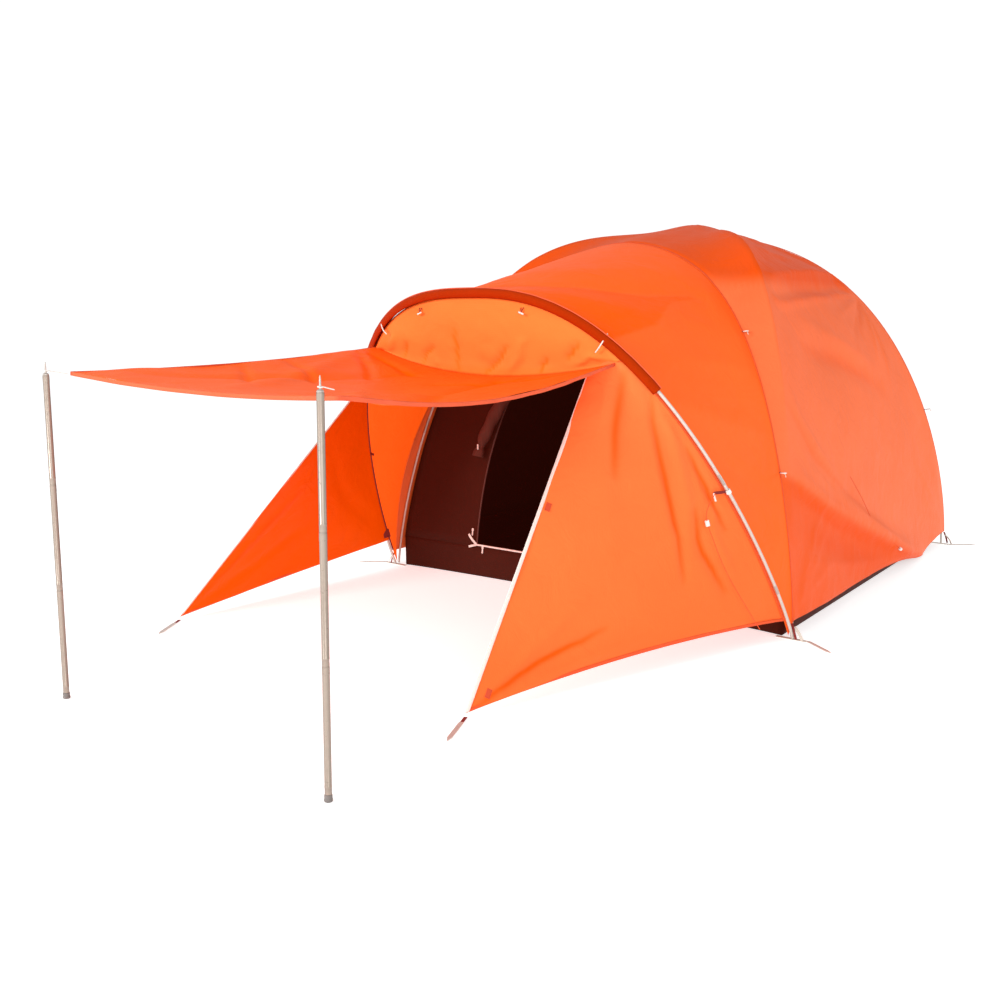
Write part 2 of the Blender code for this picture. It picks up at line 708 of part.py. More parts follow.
def smooth_line(corners, count):
    """A smooth line through a few corners, as evenly numbered points."""
    line = []
    for first in range(len(corners) - 1):
        p1, p2 = Vector(corners[first]), Vector(corners[first + 1])
        p0 = Vector(corners[first - 1]) if first else p1 * 2 - p2
        p3 = Vector(corners[first + 2]) if first + 2 < len(corners) else p2 * 2 - p1
        for step in range(count):
            t = step / count
            a = 2 * p1 + (p2 - p0) * t + (2 * p0 - 5 * p1 + 4 * p2 - p3) * t ** 2
            line.append((a + (3 * p1 - p0 - 3 * p2 + p3) * t ** 3) / 2)
    line.append(Vector(corners[-1]))
    return line


def build_guy_lines():
    tube("right_tension_line", smooth_line(TENSION_LINE, 9), CORD_RADIUS, "cord")
    tube("side_guy_cord", smooth_line(SIDE_GUY, 11), CORD_RADIUS, "cord")
    for name, corners, spot in (("right_line_tensioner", TENSION_LINE, 12),
                                ("side_line_tensioner", SIDE_GUY, 41)):
        line = smooth_line(corners, 9 if name[0] == "r" else 11)
        way = line[spot + 1] - line[spot - 1]
        bore = CORD_RADIUS + TENSIONER_CLEARANCE
        ring = [(0.0085, 0.011), (0.0085, -0.011), (bore, -0.011), (bore, 0.011)]
        turned(name, ring, "plastic", line[spot], way, 8)


clear_scene()
PARTS = new_collection("awning_dome_tent")
CUTTERS = new_collection("cutters")
MATERIALS = {name: make_material(name) for name in COLOURS}
build_frame()
build_flysheet()
build_porch()
build_inner()
build_prop("right", 1)
build_prop("left", -1)
build_ground_points()
build_sliders()
build_clips()
build_door_roll()
build_guy_lines()
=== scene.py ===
import math

import bmesh
import bpy
import numpy as np
from mathutils import Matrix, Vector, noise


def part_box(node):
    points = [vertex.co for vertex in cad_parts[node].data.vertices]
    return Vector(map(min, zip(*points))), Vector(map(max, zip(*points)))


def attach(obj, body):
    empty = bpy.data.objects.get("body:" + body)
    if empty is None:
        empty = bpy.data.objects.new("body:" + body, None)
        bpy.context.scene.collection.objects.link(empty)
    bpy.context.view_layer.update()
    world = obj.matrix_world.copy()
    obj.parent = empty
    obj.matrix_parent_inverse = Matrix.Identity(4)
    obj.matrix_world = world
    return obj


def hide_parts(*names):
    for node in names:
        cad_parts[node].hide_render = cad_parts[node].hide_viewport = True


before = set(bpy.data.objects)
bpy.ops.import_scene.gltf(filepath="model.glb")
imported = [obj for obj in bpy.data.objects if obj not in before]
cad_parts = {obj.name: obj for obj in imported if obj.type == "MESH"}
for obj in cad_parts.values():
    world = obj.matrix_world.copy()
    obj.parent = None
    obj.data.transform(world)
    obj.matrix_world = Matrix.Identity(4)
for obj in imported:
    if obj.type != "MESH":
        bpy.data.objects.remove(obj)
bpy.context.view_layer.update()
SCENE = bpy.context.scene

# Sizes of the tent, in metres
FRONT_Y = -1.205
PEAK_HEIGHT, PEAK_LIFT = 1.742, 0.055
FRONT_FOOT, REAR_FOOT = (1.085, -1.205), (1.112, 1.205)
HOOP = dict(half=1.085, rise=1.375, side=2.7, top=1.42, lean=-0.57, bow=0.0)
SEAM = dict(half=1.080, rise=1.648, side=1.95, top=1.95, lean=0.26, bow=0.145)
HOOP_INSET = 0.0175
MAIN_INSET = 0.0165
INNER_INSET = 0.036
HOOP_AXIS = (0, 1, 0.57)
FRONT_CURVE, REAR_CURVE, ARM_SPACING = (3.62, 1.41), (2.47, 1.68), 1.6
HEM_HEIGHT = 0.065
TRAY_WALL, TRAY_JOIN = 0.15, 0.154
FLOOR_HALF_WIDTH, FLOOR_HALF_LENGTH = 1.01, 1.185
DOOR_TOP, DOOR_HALF_WIDTH, SLEEVE_END = 1.10, 0.60, 1.02
AWNING_Y, AWNING_FRONT_Y = -1.842, -3.287
DOORWAY_HALF_WIDTH, DOORWAY_RISE, DOORWAY_SILL = 0.57, 1.16, 0.17
RIGHT_CORNER, LEFT_CORNER = (0.547, -2.678), (-1.098, -2.560)
PROP_X, PROP_Y, PROP_HEIGHT, PROP_RADIUS = 0.622, -3.363, 1.078, 0.010
MAIN_TUBE_RADIUS, HOOP_TUBE_RADIUS, CORD_RADIUS = 0.0055, 0.0065, 0.0016
CLOTH, HEAVY_CLOTH, GROUND_LIFT = 0.0009, 0.0016, 0.0016
CLIP_HEIGHT = 0.64
RIGHT_FRONT, LEFT_FRONT, RIGHT_REAR, LEFT_REAR = (1, -1), (-1, -1), (1, 1), (-1, 1)
SIDES = ((1, "right"), (-1, "left"))
BODY_MIDDLE, PORCH_MIDDLE, UNDER_AWNING = (0, 0, 0.4), (0, -1.6, 0.4), (0, -2.6, 0.2)


# ---- curves of the tent

def at(*place):
    return np.array(place, float)


def unit(v):
    return np.array(v, float) / np.linalg.norm(v)


def lerp(a, b, t):
    return a + (b - a) * t


def swell(t):
    """Half a wave: 0 at both ends and 1 in the middle."""
    return math.sin(math.pi * t)


def steps(point, count):
    return [point(i / count) for i in range(count + 1)]


def mirrored(line):
    return tuple((-x, y, z) for x, y, z in line)


def arch(shape, s, inset=0.0):
    """Point on the hoop or the seam: s runs from -1 at the left foot to 1 at the right foot."""
    angle = min(abs(s), 1.0) * math.pi / 2
    reach = (shape["half"] - inset) * math.sin(angle) ** (2 / shape["side"])
    height = (shape["rise"] - inset) * max(math.cos(angle), 0.0) ** (2 / shape["top"])
    bow = shape["bow"] * swell(min(height / 1.5, 1.0))
    y = FRONT_Y + shape["lean"] * height - bow
    return at(math.copysign(reach, s), y, height)


def station(shape, height, inset=0.0):
    """Where along an arch it reaches a height."""
    share = (height / (shape["rise"] - inset)) ** (shape["top"] / 2)
    return math.acos(share) * 2 / math.pi


def arm(side, end, k, inset=0.0, lift=PEAK_LIFT):
    """Point on a main pole: k is 0 at the peak and 1 at the foot."""
    foot, (side_power, top_power) = (REAR_FOOT, REAR_CURVE) if end > 0 else (FRONT_FOOT, FRONT_CURVE)
    angle = math.pi / 2 * k ** ARM_SPACING
    length = math.hypot(*foot)
    reach = (length - inset) * math.sin(angle) ** (2 / side_power)
    height = (PEAK_HEIGHT - inset) * max(math.cos(angle), 0.0) ** (2 / top_power)
    height += lift * math.exp(-(reach / 0.2) ** 2)
    return at(side * foot[0] * reach / length, foot[1] * reach / length, height)


def arm_station(end, height, inset=0.0):
    """How far down its arm a main pole reaches a height."""
    top_power = (REAR_CURVE if end > 0 else FRONT_CURVE)[1]
    share = (height / (PEAK_HEIGHT - inset)) ** (top_power / 2)
    return (math.acos(share) * 2 / math.pi) ** (1 / ARM_SPACING)


def hem_line(v, dip=0.058):
    """Height of the flysheet's hem along a side: it dips to its peg point near the rear."""
    pull = math.exp(-((v - 0.80) / 0.13) ** 2) * min(1.0, (1 - v) * 5)
    return 0.078 - dip * pull - 0.006 * swell(v)


def porch_seam(u):
    """Where the porch cloth is sewn to the body, u from the left hem to the right hem."""
    low = station(SEAM, HEM_HEIGHT)
    return arch(SEAM, lerp(-low, low, u))


def body_side(first, second, u, v, inset=0.0, lift=PEAK_LIFT, low=HEM_HEIGHT, dip=0.058):
    """Point on a side of the body: u from the peak to the hem, v from one arm to the next."""
    a = arm(*first, u * arm_station(first[1], low, inset), inset, lift)
    b = arm(*second, u * arm_station(second[1], low, inset), inset, lift)
    place = lerp(a, b, v)
    if inset == 0.0:
        place[2] += (hem_line(v, dip) - HEM_HEIGHT) * u ** 8
    return place


HOOP_LINE = steps(lambda t: arch(HOOP, 2 * t - 1, HOOP_INSET), 40)
SEAM_LINE = steps(porch_seam, 40)


# ---- cloth

def grid_of(point, columns, rows):
    return np.array([steps(lambda u: point(u, v), columns) for v in steps(float, rows)])


def object_of(builder, name):
    mesh = bpy.data.meshes.new(name)
    builder.to_mesh(mesh)
    builder.free()
    item = bpy.data.objects.new(name, mesh)
    SCENE.collection.objects.link(item)
    return item


def cloth(name, grids, inside, weld=0.0004):
    """A cloth from one or more grids of points, welded where they meet and facing out."""
    builder = bmesh.new()
    layer = builder.loops.layers.uv.new("UVMap")
    for grid in grids:
        rows, columns = grid.shape[:2]
        across = np.linalg.norm(np.diff(grid, axis=1), axis=2).mean(0)
        down = np.linalg.norm(np.diff(grid, axis=0), axis=2).mean(1)
        u_run = np.concatenate(([0], np.cumsum(across)))
        v_run = np.concatenate(([0], np.cumsum(down)))
        corners = [[builder.verts.new(place) for place in row] for row in grid]
        for j in range(rows - 1):
            for i in range(columns - 1):
                spots = ((j, i), (j, i + 1), (j + 1, i + 1), (j + 1, i))
                face = builder.faces.new([corners[a][b] for a, b in spots])
                face.smooth = True
                for loop, (a, b) in zip(face.loops, spots):
                    loop[layer].uv = (u_run[b], v_run[a])
    bmesh.ops.remove_doubles(builder, verts=builder.verts, dist=weld)
    bmesh.ops.recalc_face_normals(builder, faces=builder.faces)
    inside = Vector(inside)
    score = sum(f.normal.dot(f.calc_center_median() - inside) * f.calc_area()
                for f in builder.faces)
    if score < 0:
        bmesh.ops.reverse_faces(builder, faces=builder.faces)
    return object_of(builder, name)


def read(rows, field):
    values = np.zeros(len(rows) * 3)
    rows.foreach_get(field, values)
    return values.reshape(-1, 3)


def write_points(mesh, points):
    mesh.vertices.foreach_set("co", points.ravel())
    mesh.update()


def along_line(points, line):
    """Distance of each point from a line of corners, and how far along the line it is."""
    line = np.array(line, float)
    lengths = np.linalg.norm(np.diff(line, axis=0), axis=1)
    best = np.full(len(points), 1e9)
    share = np.zeros(len(points))
    done = 0.0
    for a, b, length in zip(line[:-1], line[1:], lengths):
        t = np.clip((points - a) @ (b - a) / max(length, 1e-9) ** 2, 0, 1)
        gap = np.linalg.norm(points - a - t[:, None] * (b - a), axis=1)
        near = gap < best
        best = np.where(near, gap, best)
        share = np.where(near, (done + t * length) / lengths.sum(), share)
        done += length
    return best, share


def laid_on(points, line, count=26):
    """The line, evenly cut and laid on the nearest points of the cloth."""
    line = np.array(line, float)
    run = np.concatenate(([0], np.cumsum(np.linalg.norm(np.diff(line, axis=0), axis=1))))
    spots = np.linspace(0, run[-1], count)
    even = np.stack([np.interp(spots, run, line[:, axis]) for axis in range(3)], 1)
    near = np.array([points[((points - place) ** 2).sum(1).argmin()] for place in even])
    smooth = near.copy()
    smooth[1:-1] = (near[:-2] + 2 * near[1:-1] + near[2:]) / 4
    return smooth


def near_fold(points, line, ends=0.6):
    """Distance of each point from a fold, and how the fold dies out towards its ends."""
    gap, share = along_line(points, laid_on(points, line))
    return gap, np.clip(np.sin(math.pi * np.clip(share, 0.001, 0.999)), 0, 1) ** ends


def fold(points, line, width, height, sharp=False, ends=0.6):
    """Height of a fold along a line: rounded, or creased like pressed cloth."""
    gap, taper = near_fold(points, line, ends)
    if sharp:
        return height * np.clip(1 - gap / width, 0, 1) ** 1.3 * taper
    return height * np.exp(-(gap / width) ** 2) * taper


def ripple(points, size, depth, seed):
    """Slack in the cloth: a soft random unevenness of a given size."""
    shift = Vector((seed, seed * 1.7, seed * 0.3))
    return depth * np.array([noise.noise(Vector(p) + shift) for p in points / size])


def held_by(lines, reach, least=0.0):
    """How free the cloth is near the lines it is sewn to or stretched over, from least to 1."""
    def freedom(points):
        free = np.ones(len(points))
        for line in lines:
            share = np.clip(along_line(points, line)[0] / reach, 0, 1)
            free = np.minimum(free, least + (1 - least) * share * share * (3 - 2 * share))
        return free
    return freedom


def shape_cloth(item, folds, ripples, guard):
    """Press folds and slack into a cloth object, along its own normals."""
    points = read(item.data.vertices, "co")
    height = np.zeros(len(points))
    for settings in folds:
        height += fold(points, *settings)
    for settings in ripples:
        height += ripple(points, *settings)
    height *= guard(points)
    write_points(item.data, points + read(item.data.vertex_normals, "vector") * height[:, None])


def tint(item, mask, folds=(), strength=0.0, name="painted_shade"):
    """Store how strongly each point takes its second, deeper colour as painted shade; pressed folds take
    more of it, a painted shade in their creases. Under another name it stores a painted glow mask.
    """
    points = read(item.data.vertices, "co")
    values = mask(points)
    for line, width, height, *rest in folds:
        if height < 0 or rest[:1] == [True]:
            gap, taper = near_fold(points, line)
            values = values + strength * taper * np.exp(-(gap / (0.55 * width)) ** 2)
    attribute = item.data.attributes.new(name, "FLOAT", "POINT")
    attribute.data.foreach_set("value", np.clip(values, 0, 1).astype(np.float32))


def pick(item):
    bpy.ops.object.select_all(action="DESELECT")
    item.select_set(True)
    bpy.context.view_layer.objects.active = item


def apply_all(item):
    pick(item)
    for modifier in list(item.modifiers):
        bpy.ops.object.modifier_apply(modifier=modifier.name)
    item.select_set(False)


def thicken(item, thickness):
    solid = item.modifiers.new("thickness", "SOLIDIFY")
    solid.thickness = thickness
    solid.offset = 0.0
    apply_all(item)


def dress(item, material, body="tent", nodes=()):
    """Give a piece its finish and its place on the frame."""
    item.data.materials.append(material)
    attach(item, body)
    if nodes:
        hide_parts(*nodes)


def finish_cloth(item, material, nodes, body="tent",
                 thickness=CLOTH):
    thicken(item, thickness)
    dress(item, material, body, nodes)


# ---- finishes

def srgb(r, g, b):
    def linear(c):
        c /= 255
        return c / 12.92 if c <= 0.04045 else ((c + 0.055) / 1.055) ** 2.4
    return linear(r), linear(g), linear(b), 1.0


def feed(tree, node, inputs):
    """Set a node's inputs, each to a value or to the output that feeds it."""
    for key, value in inputs.items():
        if isinstance(value, bpy.types.NodeSocket):
            tree.links.new(value, node.inputs[key])
        else:
            node.inputs[key].default_value = value


def put(tree, kind, inputs=None, **settings):
    node = tree.nodes.new("ShaderNode" + kind)
    for key, value in settings.items():
        setattr(node, key, value)
    feed(tree, node, inputs or {})
    return node


def mix_colour(tree, factor, first, second):
    return put(tree, "Mix", {0: factor, 6: first, 7: second}, data_type="RGBA").outputs[2]


def ramp(tree, value, low, high, first=0.0, last=1.0):
    return put(tree, "MapRange", {"Value": value, "From Min": low, "From Max": high,
                                  "To Min": first, "To Max": last}).outputs["Result"]


def bump(tree, height, strength, distance, **more):
    return put(tree, "Bump", {"Height": height, "Strength": strength, "Distance": distance,
                              **more}).outputs["Normal"]


def scaled(colour, share):
    return tuple(c * share for c in colour[:3]) + (1.0,)


def new_group(name, inputs, outputs):
    group = bpy.data.node_groups.new(name, "ShaderNodeTree")
    for way, labels in (("INPUT", inputs), ("OUTPUT", outputs)):
        for label in labels:
            group.interface.new_socket(label, in_out=way, socket_type="NodeSocketFloat")
    return group, group.nodes.new("NodeGroupInput"), group.nodes.new("NodeGroupOutput")


def new_material(name):
    material = bpy.data.materials.new(name)
    material.use_nodes = True
    return material, material.node_tree, material.node_tree.nodes["Principled BSDF"]


def weave_group():
    """Fine plain weave with a ripstop grid, from a cloth's own lengthwise and crosswise run."""
    group, start, end = new_group("ripstop_weave", ("Grid",), ("Height", "Thread"))
    run = put(group, "UVMap", uv_map="UVMap").outputs["UV"]
    rib_x, rib_y, warp, weft = [
        put(group, "TexWave", {"Scale": scale, "Vector": run}, wave_type="BANDS",
            bands_direction=direction).outputs["Fac"]
        for scale in (RIB_SCALE, THREAD_SCALE) for direction in "XY"]

    def maths(operation, a, b):
        return put(group, "Math", {0: a, 1: b}, operation=operation).outputs[0]

    grid = maths("MAXIMUM", maths("POWER", rib_x, 14.0), maths("POWER", rib_y, 14.0))
    threads = maths("MULTIPLY", maths("ADD", warp, weft), 0.35)
    ribs = maths("MULTIPLY", grid, start.outputs["Grid"])
    feed(group, end, {"Height": maths("ADD", ribs, threads), "Thread": grid})
    return group


def tone_group():
    """Slight unevenness of dye and handling, from two sizes of noise."""
    group, start, end = new_group("uneven_dye", ("Size",), ("Value", "Crumple"))
    place = put(group, "TexCoord").outputs["Object"]
    cloud = put(group, "TexNoise", {"Vector": place, "Scale": start.outputs["Size"],
                                    "Detail": 4.0})
    crumple = put(group, "TexNoise", {"Vector": place, "Scale": 9.0, "Detail": 6.0,
                                      "Roughness": 0.55, "Distortion": 0.8})
    feed(group, end, {"Value": cloud.outputs["Fac"], "Crumple": crumple.outputs["Fac"]})
    return group


RIB_SCALE, THREAD_SCALE = 62.8, 520.0
WEAVE = weave_group()
TONE = tone_group()


def nylon(name, colour, second, roughness=0.42, with_painted_shade=False, glow=0.0, unlit=1.0):
    """Coated nylon: its colour and a second, deeper one, which the ripstop threads take a little of and
    which is laid on as painted shade where a mask asks; an uneven dye, a ripstop weave and small
    crumples.

    glow is painted light, an emission standing in for the light that comes through the cloth, and unlit
    its share away from the light.
    """
    material, tree, shader = new_material(name)
    dye = put(tree, "Group", node_tree=TONE)
    weave = put(tree, "Group", node_tree=WEAVE)
    feed(tree, dye, {"Size": 2.4})
    feed(tree, weave, {"Grid": 0.5})
    crumple = dye.outputs["Crumple"]
    uneven = ramp(tree, dye.outputs["Value"], 0.3, 0.7)
    paint = mix_colour(tree, uneven, scaled(colour, 0.90), colour)
    if with_painted_shade:
        # the second colour is laid on here as painted shade, as far as the stored mask asks
        painted_shade = put(tree, "Attribute", attribute_name="painted_shade").outputs["Fac"]
        paint = mix_colour(tree, painted_shade, paint, second)
    lit = put(tree, "Attribute", attribute_name="lit").outputs["Fac"]
    fine = bump(tree, weave.outputs["Height"], 0.12, 0.0006)
    feed(tree, shader, {
        "Base Color": mix_colour(tree, ramp(tree, weave.outputs["Thread"], 0.0, 6.0), paint, second),
        "Roughness": ramp(tree, crumple, 0.0, 1.0, roughness - 0.05, roughness + 0.08),
        "Specular IOR Level": 0.5,
        "IOR": 1.12,
        "Specular Tint": second,
        # the emission is painted light, a glow standing in for light through the cloth, full where the
        # lit mask is full
        "Emission Color": mix_colour(tree, lit, scaled(second, unlit), second),
        "Emission Strength": glow,
        "Normal": bump(tree, crumple, 0.5, 0.012, Normal=fine)})
    return material


def plain(name, colour, roughness, metallic, size, relief, vary=0.10, rim=0.0):
    """Metal, moulded plastic or rubber, with a fine grain and slight wear in its colour, and with rim a
    painted shade where the surface turns away from view.
    """
    material, tree, shader = new_material(name)
    place = put(tree, "TexCoord").outputs["Object"]
    grain = put(tree, "TexNoise", {"Scale": size, "Detail": 5.0, "Vector": place}).outputs["Fac"]
    paint = mix_colour(tree, ramp(tree, grain, 0.35, 0.65), scaled(colour, 1 - 2 * vary), colour)
    if rim:
        edge = put(tree, "LayerWeight", {"Blend": 0.35}).outputs["Facing"]
        paint = mix_colour(tree, edge, paint, scaled(colour, 1 - rim))
    feed(tree, shader, {
        "Base Color": paint,
        "Roughness": ramp(tree, grain, 0.0, 1.0, max(roughness - 0.08, 0.05), roughness + 0.08),
        "Metallic": metallic,
        "Normal": bump(tree, grain, relief, 0.001)})
    return material


def webbing(name, colour, second):
    """Woven tape with cross ribs."""
    material, tree, shader = new_material(name)
    place = put(tree, "TexCoord").outputs["Object"]
    ribs = put(tree, "TexWave", {"Scale": 160.0, "Distortion": 0.6, "Vector": place},
               bands_direction="DIAGONAL").outputs["Fac"]
    feed(tree, shader, {"Base Color": mix_colour(tree, ribs, colour, second),
                        "Roughness": 0.8,
                        "Normal": bump(tree, ribs, 0.3, 0.0006)})
    return material


# ORANGE, BROW, WING and FAR_WING are one orange nylon in lit and shaded copies: BROW and WING lighter
# where the light falls on the brow and the near wing, FAR_WING deeper for the far wing seen from inside.
# Where a material reads the shade mask its second colour is painted shade, and every glow is painted
# light.
ORANGE = nylon("porch_nylon", srgb(238, 98, 42), srgb(234, 82, 0), with_painted_shade=True, glow=0.70,
               unlit=0.42)
BROW = nylon("brow_nylon", srgb(250, 126, 60), srgb(246, 96, 8), with_painted_shade=True, glow=0.12)
SALMON = nylon("body_nylon", srgb(229, 113, 70), srgb(210, 72, 12), with_painted_shade=True, glow=0.22)
WING = nylon("wing_nylon", srgb(246, 121, 66), srgb(238, 82, 14), with_painted_shade=True, glow=0.12)
FAR_WING = nylon("far_wing_nylon", srgb(220, 80, 0), srgb(214, 62, 0), with_painted_shade=True, glow=0.34)
SLEEVE = nylon("sleeve_nylon", srgb(166, 46, 6), srgb(136, 30, 0))
HEM = nylon("hem_nylon", srgb(226, 98, 66), srgb(214, 70, 30))
BROWN = nylon("inner_nylon", srgb(64, 27, 20), srgb(52, 14, 6), roughness=0.62, glow=0.35)
DOOR = nylon("door_nylon", srgb(92, 50, 42), srgb(60, 24, 16), roughness=0.5, glow=0.2)
TRAY = nylon("tray_nylon", srgb(64, 27, 20), srgb(52, 14, 6), roughness=0.55, glow=0.3)
# the rim setting on the tubes paints shade along their edges
ALLOY = plain("anodised_tube", srgb(160, 145, 132), 0.3, 0.3, 60.0, 0.03, vary=0.02, rim=0.8)
POLE = plain("pole_tube", srgb(206, 196, 186), 0.4, 0.1, 60.0, 0.03, vary=0.02, rim=0.5)
STEEL = plain("tube_joint", srgb(178, 168, 160), 0.34, 0.5, 90.0, 0.05, vary=0.03)
WHITE = plain("white_plastic", srgb(238, 236, 230), 0.45, 0.0, 80.0, 0.05)
RUBBER = plain("foot_rubber", srgb(120, 112, 108), 0.7, 0.0, 90.0, 0.12)
PEG = plain("peg_alloy", srgb(206, 198, 190), 0.4, 0.25, 70.0, 0.06, vary=0.03)
CORD = webbing("braided_cord", srgb(240, 236, 228), srgb(205, 198, 190))
PATCH = webbing("patch_cloth", srgb(206, 72, 30), srgb(190, 60, 24))
PINK_TAPE = webbing("zip_tape", srgb(240, 226, 218), srgb(214, 190, 180))
DARK_TAPE = webbing("red_webbing", srgb(140, 34, 24), srgb(104, 22, 18))
GREY_TAPE = webbing("pale_webbing", srgb(226, 216, 204), srgb(188, 176, 164))
BROWN_TAPE = webbing("brown_binding", srgb(96, 46, 34), srgb(70, 32, 26))
SALMON_TAPE = webbing("salmon_binding", srgb(222, 98, 62), srgb(208, 84, 48))
ORANGE_TAPE = webbing("orange_binding", srgb(232, 84, 26), srgb(214, 70, 16))


# ---- flysheet body

def build_body():
    grids = [grid_of(lambda u, v: body_side(RIGHT_FRONT, RIGHT_REAR, v, u), 170, 150),
             grid_of(lambda u, v: body_side(LEFT_FRONT, LEFT_REAR, v, u), 60, 150),
             grid_of(lambda u, v: body_side(LEFT_REAR, RIGHT_REAR, v, u, dip=0.0), 50, 150)]

    def front(u, v):
        first = RIGHT_FRONT if u >= 0.5 else LEFT_FRONT
        rear = RIGHT_REAR if u >= 0.5 else LEFT_REAR
        return lerp(porch_seam(u), body_side(first, rear, abs(2 * u - 1), 0.0), v)

    grids.append(grid_of(front, 300, 8))
    item = cloth("fly_body", grids, BODY_MIDDLE)
    folds = [(((0.99, -1.149, 0.674), (1.03, -0.81, 0.52), (1.063, -0.32, 0.34),
               (1.095, 0.30, 0.126), (1.113, 0.755, 0.03)), 0.11, 0.034, True, 0.3),
             (((1.03, -1.05, 0.42), (1.07, -0.5, 0.24), (1.10, 0.1, 0.09)), 0.12, -0.012),
             (((0.86, -1.03, 1.05), (0.96, -0.92, 0.83), (1.03, -0.55, 0.53),
               (1.077, -0.03, 0.27), (1.10, 0.45, 0.09)), 0.034, 0.016),
             (((0.90, -1.05, 0.98), (0.98, -0.85, 0.72), (1.04, -0.45, 0.49),
               (1.08, 0.10, 0.24)), 0.026, -0.012),
             (((0.94, -1.08, 0.86), (1.0, -0.90, 0.66), (1.05, -0.40, 0.40),
               (1.09, 0.2, 0.19)), 0.020, 0.008),
             (((1.02, -1.12, 0.60), (1.06, -0.70, 0.40), (1.09, 0.1, 0.16)), 0.030, -0.010),
             (((1.06, -1.12, 0.30), (1.09, -0.4, 0.17), (1.11, 0.5, 0.05)), 0.020, 0.007),
             (((0.849, -0.669, 1.18), (0.87, -0.17, 1.105), (0.93, 0.413, 0.939)), 0.07, -0.020),
             (((0.78, -0.55, 1.30), (0.84, -0.1, 1.19), (0.88, 0.30, 1.07)), 0.04, 0.009),
             (((0.46, -0.85, 1.48), (0.693, -0.783, 1.474), (0.62, -0.1, 1.52),
               (0.566, 0.565, 1.538), (0.64, 0.70, 1.50)), 0.10, 0.030, True, 0.25),
             (((0.40, -0.30, 1.64), (0.38, 0.2, 1.64), (0.42, 0.5, 1.62)), 0.12, -0.022),
             (((0.62, -0.873, 1.373), (0.766, -0.72, 1.363), (0.72, -0.2, 1.405),
               (0.68, 0.62, 1.45)), 0.045, 0.018, True, 0.3),
             (((0.70, -0.5, 1.43), (0.68, 0.3, 1.45)), 0.05, -0.012),
             (((0.50, -0.5, 1.60), (0.52, 0.1, 1.59)), 0.03, 0.006),
             (((0.30, -0.40, 1.70), (0.30, 0.3, 1.69)), 0.035, 0.007)]
    knot = (0.69, 0.71, 1.45)
    ends = ((0.80, 0.30, 1.20), (0.84, 0.45, 1.08), (0.86, 0.62, 1.02), (0.76, 0.05, 1.30),
            (0.82, 0.10, 1.16), (0.90, 0.55, 0.90), (0.72, 0.10, 1.42), (0.60, 0.40, 1.53),
            (0.52, 0.35, 1.58))
    for i, end in enumerate(ends):
        folds.append(((knot, end), 0.014, 0.009 if i % 2 else -0.008, False, 0.9))
    folds += [(((-0.99, -1.10, 0.68), (-1.09, 0.6, 0.1)), 0.09, 0.018),
              (((-0.55, -0.7, 1.5), (-0.6, 0.6, 1.5)), 0.07, 0.012),
              (((-0.70, 0.70, 1.42), (-0.86, -0.2, 1.1)), 0.03, 0.007),
              (((-0.86, -0.9, 1.1), (-0.98, 0.2, 0.75)), 0.05, -0.009)]
    for x in (-0.62, -0.2, 0.3, 0.7):
        folds.append((((x * 0.3, 0.45, 1.62), (x, 1.02, 0.9), (x * 1.3, 1.19, 0.25)),
                      0.05, 0.010 if x > 0 else -0.009))
    for side in (-1, 1):
        for lift in (0.25, 0.42, 0.6):
            folds.append((((side * 1.06, 1.17, 0.12), (side * 0.6, 1.19, lift)), 0.025, 0.005))
            folds.append((((side * 1.08, 1.10, 0.14), (side * 1.04, 0.65, lift)), 0.022, 0.0045))
            folds.append((((side * 1.07, -1.15, 0.14), (side * 1.05, -0.7, lift)), 0.022, 0.0045))
    arms = [steps(lambda k: arm(side, end, k), 20) for side in (-1, 1) for end in (-1, 1)]
    free = held_by(arms, 0.10, 0.25)
    sewn = held_by([SEAM_LINE], 0.06)
    shape_cloth(item, folds, [(0.55, 0.012, 3.0), (0.16, 0.003, 9.0), (0.06, 0.0008, 4.0)],
                lambda p: free(p) * sewn(p))

    # painted shade: the roof darkest, the upper sides a little darker, and the right side darker below
    # its long low fold
    def shade(points):
        x, y, z = points.T
        roof = np.clip((z - 1.42) / 0.08, 0, 1) * 0.95
        rest = np.clip((z - 0.75) / 0.9, 0, 1) * 0.25
        gap = z - np.interp(y, (-1.15, -0.81, -0.32, 0.30, 0.755), (0.674, 0.52, 0.34, 0.135, 0.02))
        low = np.clip(-gap / 0.03, 0, 1) * 0.75 * (x > 0.6)
        return np.maximum(roof, rest) + low

    # the hollow and sharp ones among the first sixteen folds take painted shade in their creases
    tint(item, shade, folds[:16], 0.28)
    finish_cloth(item, SALMON,
                 ("fly_right_side", "fly_left_side", "fly_rear_wall", "fly_front_panel"))


# ---- porch

CREASE = ((-0.25, -1.72, 1.40), (0.159, -1.639, 1.43), (0.274, -1.549, 1.424),
          (0.405, -1.344, 1.406), (0.499, -1.089, 1.395), (0.56, -1.0, 1.37))
SHOULDER = ((0.52, -1.05, 1.385), (0.499, -1.236, 1.363), (0.5625, -1.459, 1.263),
            (0.574, -1.522, 1.239), (0.564, -1.687, 1.216), (0.553, -1.826, 1.20))


